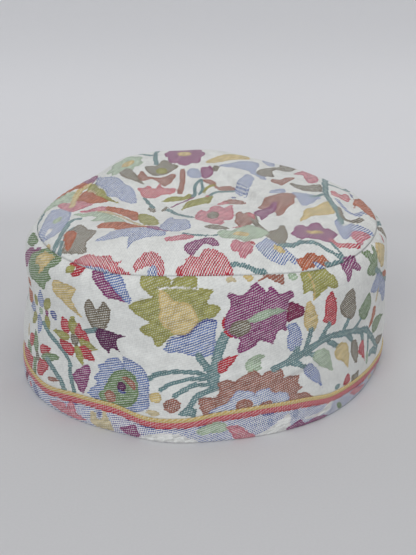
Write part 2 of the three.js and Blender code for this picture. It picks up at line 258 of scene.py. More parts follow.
WALL_BASE = (
    # The far left, past the first big flower
    shape("leaf", (-166.8, 70.1), (-169.6, 71.7), (-168.4, 75), (-161, 76.8), (-157.5, 76),
          (-160, 73)),
    shape("purple", (-168.8, 58.5), (-169.4, 62), (-167, 66.5), (-160, 72), (-155.6, 74),
          (-151.6, 76), (-153.2, 73), (-156.4, 69.8), (-160, 65), (-163.5, 60)),
    shape("leaf", (-150.4, 76.1), (-146.8, 77.6), (-142, 77.2), (-138.8, 76.1), (-139.6, 73.7),
          (-142, 71.3), (-142.4, 68.9), (-140.8, 66.9), (-143.2, 64.5), (-144.4, 60.1),
          (-147.2, 59.7), (-150.8, 60.9), (-155.6, 59.7), (-158.8, 61.3), (-159.6, 64.9),
          (-157.6, 69.7), (-154, 73.3)),
    patch("orange", (-161, 53.5), (-156.5, 53.5), (-156.5, 57), (-161, 57)),
    patch("orange", (-161, 45), (-155.5, 45), (-154.5, 52), (-161, 52)),
    disc("olive", (-150.5, 51), 4.5, 6),
    blade("blue", 6, (-147, 49), (-147, 58)),
    blade("olive", 5, (-145.4, 49.5), (-141, 57.3)),
    disc("purple", (-144, 48), 2.6, 3),
    blade("blue", 6, (-148, 45), (-150, 34)),
    blade("olive", 5, (-151, 44), (-156, 35.6)),
    blade("blue", 5, (-151.5, 47), (-158, 43)),
    disc("olive", (-144, 43), 4.8, 7.4),
    disc("navy", (-140.3, 48.8), 5, 4.4),
    stem("teal", 2.7, (-146, 41.5), (-143, 38), (-140, 35.5), (-137, 34), (-134.5, 32),
         (-132.5, 29), (-132.3, 24), (-131.5, 19), (-130.7, 15)),
    shape("yellow", (-139.5, 67), (-135, 68.2), (-129.5, 67.7), (-130.4, 64), (-131, 61),
          (-129, 57), (-127.5, 54.2), (-127.5, 54.2), (-131, 55.5), (-135, 58.5), (-139.3, 61.5)),
    shape("red", (-134.8, 77.4), (-128.4, 77.2), (-128.4, 74.9), (-129.2, 72.9), (-131.2, 72.1),
          (-132.6, 73), (-131.4, 74.7), (-131.4, 75.7), (-133.6, 75.7)),
    shape("olive", (-134.6, 72.9), (-134.6, 75), (-133.2, 75.7), (-131.6, 75.2), (-131.8, 73.6),
          (-133.2, 72.7)),
    shape("purple", (-125.2, 76.4), (-122, 77), (-120.6, 75), (-118.4, 72.9), (-115.6, 69.7),
          (-112.8, 66.4), (-116.4, 66.2), (-119.4, 67.4), (-121.6, 70.1), (-124, 73.3)),
    shape("taupe", (-124.3, 64.5), (-122, 59.5), (-122, 59.5), (-119.8, 64.3), (-117.8, 61.5),
          (-117.8, 57.5), (-118.6, 53.5), (-120, 50.5), (-123.5, 50.5), (-125.2, 54), (-126, 58),
          (-125.8, 62)),
    stem("teal", 2.5, (-126.5, 47.5), (-124.5, 48.8), (-122, 50)),
    shape("plum", (-122.5, 47), (-121.7, 51), (-117.5, 50.6), (-113.5, 49.3), (-113.5, 49.3),
          (-116, 46.3), (-114.2, 40.2), (-114.2, 40.2), (-117.3, 42.6), (-118.5, 39.5),
          (-118.5, 39.5), (-121, 43)),
    blade("red", 7, (-133.6, 42.6), (-135.5, 51)),
    blade("olive", 6, (-131.3, 43), (-131.2, 53.6)),
    blade("red", 5.4, (-129.2, 42.5), (-128.5, 50.6)),
    blade("red", 3.6, (-128, 48), (-124.8, 42)),
    blade("olive", 4.4, (-129.2, 41.5), (-122.3, 40.3)),
    blade("red", 6, (-128.6, 39), (-123.2, 33.6)),
    blade("olive", 4.6, (-130.2, 39.5), (-127.5, 30)),
    shape("red", (-131, 37.5), (-133.5, 39.3), (-137.5, 38), (-136.3, 34.6), (-132, 32.6),
          (-130.6, 35)),
    blade("olive", 4.6, (-132.4, 41.6), (-141.2, 40.3)),
    shape("purple", (-125.2, 30.8), (-128.5, 28.5), (-131.2, 23.5), (-129.8, 19), (-128.7, 16.4),
          (-126.8, 16.9), (-125.3, 23.5)),
    blade("leaf", 6.4, (-150.5, 23.5), (-152.5, 34)),
    blade("red", 5.4, (-148.2, 26.4), (-141.6, 30.8)),
    blade("leaf", 4.6, (-147, 23.6), (-137.3, 28.8)),
    shape("red", (-149.5, 13), (-149, 20), (-146, 23), (-142, 23), (-142.5, 20.5), (-146, 14.5)),
    patch("leaf", (-153, 11), (-150.3, 11), (-150, 20), (-152.5, 20)),
    blade("red", 6.6, (-157.5, 23.5), (-153.2, 31)),
    disc("cream", (-160, 29), 3.6, 6.4),
    patch("red", (-166, 11), (-153.6, 11), (-153.2, 19), (-166, 19)),
    patch("leaf", (-160.5, 19.6), (-155, 19.6), (-155.5, 24), (-160, 24)),
    stem("teal", 3.4, (-143, 24.6), (-139, 21), (-136.5, 18), (-135, 14)),
    blade("brick", 2.6, (-143.4, 15), (-136.6, 17)),

    # The olive flower with its yellow heart, and the blue wedge below it
    shape("olive", (-109.3, 77.6), (-108.9, 74), (-106.4, 70.8), (-105.2, 69.4), (-108, 68.2),
          (-111.2, 65.6), (-112, 64), (-110.6, 61.6), (-107.6, 59), (-105.4, 57.8), (-107.4, 56.2),
          (-109, 54), (-108, 52), (-105.2, 50.8), (-104.8, 48.6), (-103.4, 46.2), (-101.4, 48.6),
          (-99.4, 52), (-96, 53), (-93.4, 56), (-91, 59), (-87.6, 61.2), (-85.8, 64), (-86.4, 66),
          (-89.2, 67.3), (-88.8, 70.1), (-87.4, 73.7), (-87.4, 73.7), (-92, 73.9), (-92.8, 77.6),
          (-98.4, 77.6), (-100, 75.3), (-100, 75.3), (-101.6, 77.6)),
    shape("blue", (-101.4, 44.8), (-101.2, 48), (-99.6, 51.4), (-95.2, 53), (-93, 56.4),
          (-90.6, 59.4), (-87, 59.6), (-87.2, 54), (-87.6, 46), (-88.4, 43.4), (-92, 42.8),
          (-97, 44.6)),
    stem("teal", 4.6, (-83.4, 55), (-85, 51), (-86.2, 46), (-87.4, 38), (-87.8, 30)),
    stem("teal", 3.4, (-92, 43.4), (-90.2, 39.4), (-88.6, 35)),
    stem("teal", 2.2, (-88.2, 33.2), (-92, 35.2), (-96, 35.8), (-100, 35.3), (-103, 34),
         (-105.8, 31.6)),
    stem("teal", 1.7, (-88, 32), (-93, 32.4), (-97, 31.2), (-100, 29.3), (-102.4, 26.8)),
    stem("teal", 2.2, (-87.8, 30), (-92, 29.6), (-95.5, 27.5), (-98.4, 24.4)),
    stem("teal", 2.7, (-86.8, 28.4), (-90, 26.2), (-92.6, 23.4), (-94.2, 19.6)),
    shape("teal", (-97.4, 15.2), (-96.2, 18), (-94.4, 19.4), (-92.4, 17), (-93, 14), (-95, 14.4)),
    disc("yellow", (-103.7, 22.6), 6, 5.2),
    disc("brick", (-99.2, 19.4), 8.2, 7),
    disc("cream", (-104.6, 14.8), 6.4, 3),

    # The blue ring flower over the stripes
    shape("blue", (-125.4, 16.4), (-124.2, 20), (-122.2, 23.6), (-123.7, 25), (-122.4, 28),
          (-121.6, 30.6), (-122.6, 31.6), (-120.4, 34), (-118.6, 36.6), (-116, 37.8),
          (-114.4, 36.6), (-113.8, 33.4), (-114.2, 38), (-113.5, 39.4), (-110, 37.6),
          (-107.4, 35.5), (-106, 31), (-105.6, 25), (-105.5, 20), (-106.4, 16), (-109, 13.6),
          (-113, 12), (-119, 13)),

    # The big purple flower
    shape("purple", (-83.9, 70.6), (-82, 71.6), (-80.4, 70.2), (-79, 70.2), (-78, 71.8),
          (-76.4, 74), (-74.8, 74.9), (-73.4, 73.3), (-72.4, 71.2), (-71.2, 72.8), (-70, 72.4),
          (-68.8, 70.2), (-66.8, 70), (-65, 70.8), (-64.4, 70.2), (-64.4, 68), (-65.9, 65.4),
          (-65, 65), (-62.6, 63.2), (-61.2, 61), (-61.6, 57.6), (-64, 57), (-66.6, 55.6),
          (-66.4, 52.6), (-67, 52), (-68.6, 52.6), (-69.8, 50), (-70.6, 47), (-71.4, 46.8),
          (-72.8, 48), (-74.6, 48.6), (-76.2, 46.6), (-78.6, 44.8), (-81.2, 43.8), (-81, 46.4),
          (-80.4, 50), (-82.2, 51.6), (-84, 53.6), (-85, 57.6), (-84.4, 61), (-82.8, 65),
          (-83, 68.4)),
    shape("red", (-86.7, 39.6), (-86.5, 35.4), (-85, 35), (-82.6, 39), (-81, 43.4), (-81, 43.4),
          (-83.6, 42.4)),
    shape("mint", (-78.7, 38.7), (-78.2, 35.2), (-74.6, 34.6), (-74.2, 39), (-73, 41.2), (-75, 42),
          (-77.6, 41)),
    shape("brick", (-92, 21.4), (-90, 23.2), (-87.2, 23.4), (-86.2, 26), (-86.6, 30.2), (-84, 31.6),
          (-82, 30.2), (-80.4, 32), (-77.4, 34.4), (-76, 34.9), (-74.9, 33.1), (-74, 32),
          (-72.5, 33.6), (-68.3, 33.8), (-67.6, 31), (-67.4, 28.8), (-65.8, 29.4), (-61.8, 28.4),
          (-61.8, 28.4), (-62.8, 25), (-61, 21.6), (-62.5, 20.2), (-62.4, 19), (-60, 18.8),
          (-56.6, 14.6), (-56.6, 14.6), (-70, 12), (-88, 12)),
    patch("cream", (-83.6, 75.8), (-80.8, 75.8), (-80.8, 77.6), (-83.6, 77.6)),
    shape("yellow", (-78.4, 77.8), (-76.8, 75.8), (-75.2, 77.8)),
    patch("brick", (-74.3, 75.8), (-72, 77.6), (-66, 77.4), (-66.8, 72.8), (-69.5, 75.2),
          (-71.5, 77)),
    disc("mint", (-63.4, 76), 4.6, 2.6),

    # Leaves right of the purple flower
    shape("olive", (-60.2, 76.6), (-60.9, 72), (-61.1, 68.3), (-58.4, 68.7), (-57.9, 64.3),
          (-57.9, 64.3), (-56, 66), (-53, 68.8), (-51.6, 67.8), (-49.5, 67.8), (-49.9, 72),
          (-51.5, 75.2), (-53, 76.6)),
    shape("blue", (-66.4, 54.4), (-63.4, 54.8), (-62.2, 51), (-61.5, 45), (-62.8, 41.6),
          (-65.6, 42), (-66.4, 47), (-65.8, 51)),
    shape("yellow", (-59.7, 64.6), (-60.9, 60), (-61.3, 55.4), (-60.4, 51), (-59.2, 49),
          (-57.4, 49.2), (-56.4, 54.8), (-58, 61.5)),
    shape("red", (-52, 66.4), (-53.8, 62.5), (-54.1, 56), (-54.7, 53), (-53, 50.8), (-50.4, 49.8),
          (-49.7, 54), (-49.9, 60), (-50.9, 65)),
    stem("teal", 3.3, (-70.4, 34), (-67, 36), (-64, 37.5), (-61, 39), (-57.5, 41), (-54, 43),
         (-50, 43.8), (-46, 42.5), (-43, 41.5), (-40, 40.5), (-36, 38), (-32, 36.5), (-30, 34),
         (-28, 31), (-25, 27.5), (-22, 23.5), (-19, 20.5), (-16.4, 17.4)),
    stem("teal", 3.0, (-66, 37), (-64.4, 39.4), (-63, 42)),
    stem("teal", 2.8, (-60.4, 39.4), (-59.6, 44), (-58.6, 49.8)),
    stem("teal", 2.6, (-61, 38.8), (-58.8, 38), (-56.6, 35.8)),
    stem("teal", 2.6, (-65.5, 36.5), (-62.6, 34), (-60, 31.5)),
    stem("teal", 2.6, (-55.4, 42.5), (-54, 47), (-52.4, 50.6)),
    stem("teal", 2.6, (-46.4, 43), (-45.2, 46), (-44.3, 49)),
    stem("teal", 2.4, (-41, 41), (-38.4, 42.6), (-36.4, 44.6)),
    stem("teal", 2.4, (-45, 42), (-42.6, 39), (-40.6, 36)),
    stem("teal", 2.6, (-52.8, 42.4), (-50, 39), (-47.8, 37)),
    stem("teal", 2.4, (-35.6, 37.6), (-34.2, 35), (-33.5, 31)),
    stem("teal", 2.2, (-30, 34), (-29, 28), (-28.5, 23)),
    stem("teal", 3.6, (-26, 19.6), (-22, 18.6), (-17.6, 15)),
    shape("mint", (-57.6, 35.6), (-55, 38.6), (-51.9, 36.6), (-50.4, 31), (-48.8, 24), (-48.8, 24),
          (-52, 27), (-55.6, 31)),
    shape("blue", (-60.7, 31), (-58.5, 33.2), (-56, 29.5), (-54.4, 24.5), (-53.4, 18.6),
          (-53.4, 18.6), (-56, 22), (-59.6, 27)),

    # The right side, up to where it turns away
    shape("purple", (-43.4, 77.8), (-38, 77.8), (-38.6, 74.6), (-37.6, 72), (-38.8, 70.8),
          (-40.6, 71.6), (-42, 72.6), (-43, 70.6), (-44.4, 68.4), (-45.6, 68.6), (-45.4, 71.3),
          (-46, 73.6), (-45.4, 75.6)),
    shape("leaf", (-33.7, 76), (-32.2, 71.4), (-35, 67.5), (-32, 64.8), (-29, 63.3), (-26.9, 65.5),
          (-26.1, 70), (-24.8, 76), (-24.8, 76), (-27.4, 75), (-28.5, 73.2), (-30, 75.6)),
    shape("yellow", (-26, 70.7), (-23, 75.4), (-18, 73.3), (-14, 69.2), (-16.8, 65), (-20, 61.8),
          (-23.4, 65.8)),
    stem("teal", 2.8, (-28, 65.5), (-24, 62), (-19, 57), (-13, 52), (-7, 47.4)),
    shape("blue", (-31.6, 56.1), (-29.6, 59.7), (-25.2, 62.1), (-20, 57.5), (-10.6, 46.5),
          (-8.6, 40), (-13.4, 39.5), (-18, 46), (-23.4, 51.7), (-27, 53)),
    blade("orange", 3.4, (-19.6, 59), (-11.4, 53.6)),
    blade("taupe", 5.4, (-12, 77.6), (3, 63)),
    stem("teal", 2.4, (-8, 78), (0, 74), (7, 68)),
    disc("red", (-13.6, 73.4), 3, 4.6, 20),
    shape("taupe", (-43.3, 64.3), (-46.2, 62.3), (-48.4, 58), (-47.6, 53.5), (-44.6, 49.8),
          (-42.4, 48.5), (-41, 52), (-41.8, 57), (-42.3, 62)),
    shape("leaf", (-34, 56.4), (-38.6, 51.6), (-38.7, 48.4), (-36.6, 45.3), (-33, 42.2),
          (-30.9, 46), (-30, 50), (-31.4, 54.6)),
    shape("orange", (-27.8, 45.7), (-25, 44.7), (-24.4, 41.5), (-27, 36.8), (-30.2, 35.8),
          (-28.7, 41)),
    blade("cream", 3.2, (-25.2, 46), (-22.2, 53.6)),
    shape("yellow", (-48.7, 36.2), (-46.5, 38.3), (-43.3, 35.2), (-41.9, 30), (-42.1, 23),
          (-42.1, 23), (-45, 27), (-48.5, 31.5)),
    shape("taupe", (-40.6, 35.2), (-38, 34.3), (-36.4, 30), (-36.4, 24), (-37.5, 21.9), (-39.6, 26),
          (-41.1, 31)),
    shape("red", (-33.8, 31.9), (-36, 27.5), (-33.6, 23), (-30.8, 19), (-30.8, 19), (-31.9, 25),
          (-32.7, 30)),
    shape("leaf", (-26.7, 35.5), (-23, 37.3), (-17, 34.7), (-9, 30), (-9, 30), (-17, 28.7),
          (-24, 29.3)),
    shape("taupe", (-19.4, 23.6), (-14, 21.3), (-7, 17.3), (-7, 17.3), (-14, 16.7), (-18, 19.3)),
    blade("mint", 3.4, (-29.6, 23), (-27.6, 14)),
    shape("red", (-43.9, 13.6), (-41.5, 19), (-39.9, 13.6)),
    patch("taupe", (-39, 12), (-34.4, 12), (-34.4, 16), (-39, 16)),
    disc("teal", (-46.6, 14.6), 4, 3),
)

WALL_INNER = (
    shape("yellow", (-152, 72.3), (-149.2, 75.3), (-145.6, 76.1), (-141.6, 76.2), (-143.2, 74.2),
          (-144.6, 71.5), (-146.2, 68), (-148.2, 66), (-148, 69.3), (-152, 69.3)),
    disc("mint", (-147.5, 47.4), 3.6, 3.6),
    shape("blue", (-122.4, 77.4), (-118.4, 77.2), (-115.6, 76), (-113.6, 73.3), (-112.2, 70),
          (-111.3, 66.4), (-112.6, 65.8), (-115.4, 69.1), (-118.2, 72.6), (-120.8, 75.3)),
    disc("taupe", (-130.6, 41.4), 5.4, 5.6, 40),
    disc("taupe", (-149.6, 22.2), 4.6, 4.4),
    shape("yellow", (-103.1, 72.4), (-100.3, 70.2), (-98.5, 67.4), (-94.4, 66.8), (-92.2, 60.5),
          (-93.4, 55.5), (-96.8, 51.8), (-100.6, 55), (-103, 59), (-103, 65)),
    stem("red", 1.0, (-84.7, 60.5), (-85.1, 57.4), (-84.2, 53.6), (-82.5, 51.5)),
    stem("navy", 1.1, (-101.2, 47.8), (-99.8, 51), (-95.2, 52.8), (-93, 56.2), (-90.4, 59.2),
         (-87.4, 59.5)),
    shape("leaf", (-121.7, 16.4), (-120.2, 21.5), (-118.6, 27), (-116.5, 31.2), (-113.5, 33.2),
          (-110.4, 31.6), (-109.1, 27), (-108.9, 22), (-109.9, 18), (-112.6, 14.6), (-117, 13.4)),
    shape("mint", (-77.8, 59.6), (-75, 62), (-71, 63.4), (-68.6, 63), (-66.2, 61.4), (-68.6, 60.8),
          (-71, 60.4), (-73.4, 58.8), (-75.6, 57.4), (-77.2, 57.8)),
    disc("taupe", (-80.2, 55.6), 10.4, 7.2, 12),
    shape("wine", (-65.6, 65), (-62.6, 63.4), (-61, 61), (-61.4, 57.4), (-64, 56.8), (-66.4, 56.2)),
    shape("sky", (-89, 15.4), (-86.6, 18.4), (-84.5, 19.7), (-83, 21.7), (-81.5, 24.7),
          (-79.4, 25.3), (-77, 24.2), (-76, 23), (-75, 24.5), (-72, 25), (-70.4, 22.2), (-69, 22.1),
          (-66.4, 21.2), (-65.5, 18.6), (-66.8, 16), (-78, 13)),
    stem("yellow", 0.9, (-57.8, 64.5), (-57.6, 70), (-58.2, 76)),
)

WALL_DETAIL = (
    disc("plum", (-114.5, 23.9), 4.6, 5.6, -20),
    stem("navy", 1.3, (-115.2, 21.8), (-114.3, 21.3), (-113.4, 21.9)),
    shape("brick", (-114.2, 28.7), (-112.4, 29.9), (-110.8, 28.7), (-109.7, 25.6), (-110.6, 24.4),
          (-112.2, 26.4)),
    disc("brick", (-118, 18.2), 6, 5.4, -20),
    disc("brick", (-79, 17.6), 8.4, 6),
    disc("brick", (-72.6, 16.6), 6.8, 4.4),
    stem("navy", 0.9, (-121.4, 14.8), (-118, 13.2), (-113.6, 13.6)),
)

# The side past the part that faces forward repeats one running vine
VINE = {"start": -3, "end": 191, "height": 43, "swing": 11, "wave": 48.5, "step": 8.1,
        "flower_off": 19.5, "high_buds": 73.5, "low_buds": 16.5}

BORDER_GROUND = (
    patch("denim", (-184, -3), (184, -3), (184, 20), (-184, 20)),
    patch("lavender", (-116, -3), (-106, -3), (-109, 20), (-119, 20)),
)
BORDER_BASE = (
    shape("pink", (-141.4, 3.3), (-138, 6.2), (-134.5, 7.2), (-133.5, 5.6), (-132, 9.6),
          (-130.4, 8), (-129.4, 4.5), (-125.6, 2), (-130, 1.2), (-137, 1.4)),
    shape("cream", (-124.6, 6.8), (-123, 8), (-122, 5.2), (-120.7, 5.4), (-120, 9.8), (-118.6, 7.4),
          (-116.6, 1), (-123.4, 1.2)),
    disc("navy", (-121.4, 7.8), 1.8, 4.6),
    shape("purple", (-114.4, 3.2), (-112, 5.2), (-110, 7.4), (-108.6, 4), (-108.3, 0.8),
          (-112, 0.9)),
    shape("ivory", (-108, 0.6), (-104, 4.2), (-98, 5.4), (-94, 3.2), (-92, 0.2), (-100, 0.1)),
    shape("mint", (-92.3, 6.6), (-90, 9.3), (-86.5, 10.8), (-84.1, 9.2), (-83.9, 5.4), (-87, 5.1),
          (-91, 4.8)),
    shape("pink", (-84, 7.8), (-80.5, 8), (-78, 4.6), (-75, 0.4), (-80.5, 0.3), (-82.2, 3.4)),
    shape("ivory", (-74.4, 0.5), (-71.2, 3.6), (-69.5, 5.2), (-66.6, 8.8), (-65, 9.6),
          (-64.8, 0.5)),
    disc("blue", (-71, 7.2), 3, 4.4),
    disc("blue", (-62.8, 8.6), 3.6, 5),
    shape("purple", (-65, 0.6), (-62, 3.6), (-60.5, 4.2), (-58.5, 1.7), (-55, 3.2), (-51.5, 2.2),
          (-50.2, 0.2)),
    shape("ivory", (-59, 4), (-56, 5), (-53, 5.6), (-48.6, 8.8), (-49.3, 4.2), (-53, 3.2)),
    blade("leaf", 2.8, (-45.8, 5.4), (-42.2, 0.2)),
    shape("pink", (-38.8, 6.2), (-35, 7.2), (-30, 5.2), (-27.6, 3), (-34, 2.6)),
    blade("cream", 3, (-25.4, 5.6), (-19.4, 2.2)),
)
BORDER_REPEAT = {"start": -14, "end": 212, "step": 8.6}

# Where navy passes of the border show below the red stripe
NAVY_MARKS = (
    (-133, -126), (-112, -104), (-101, -95), (-92, -85), (-74, -70), (-58, -54), (-36, -31),
)

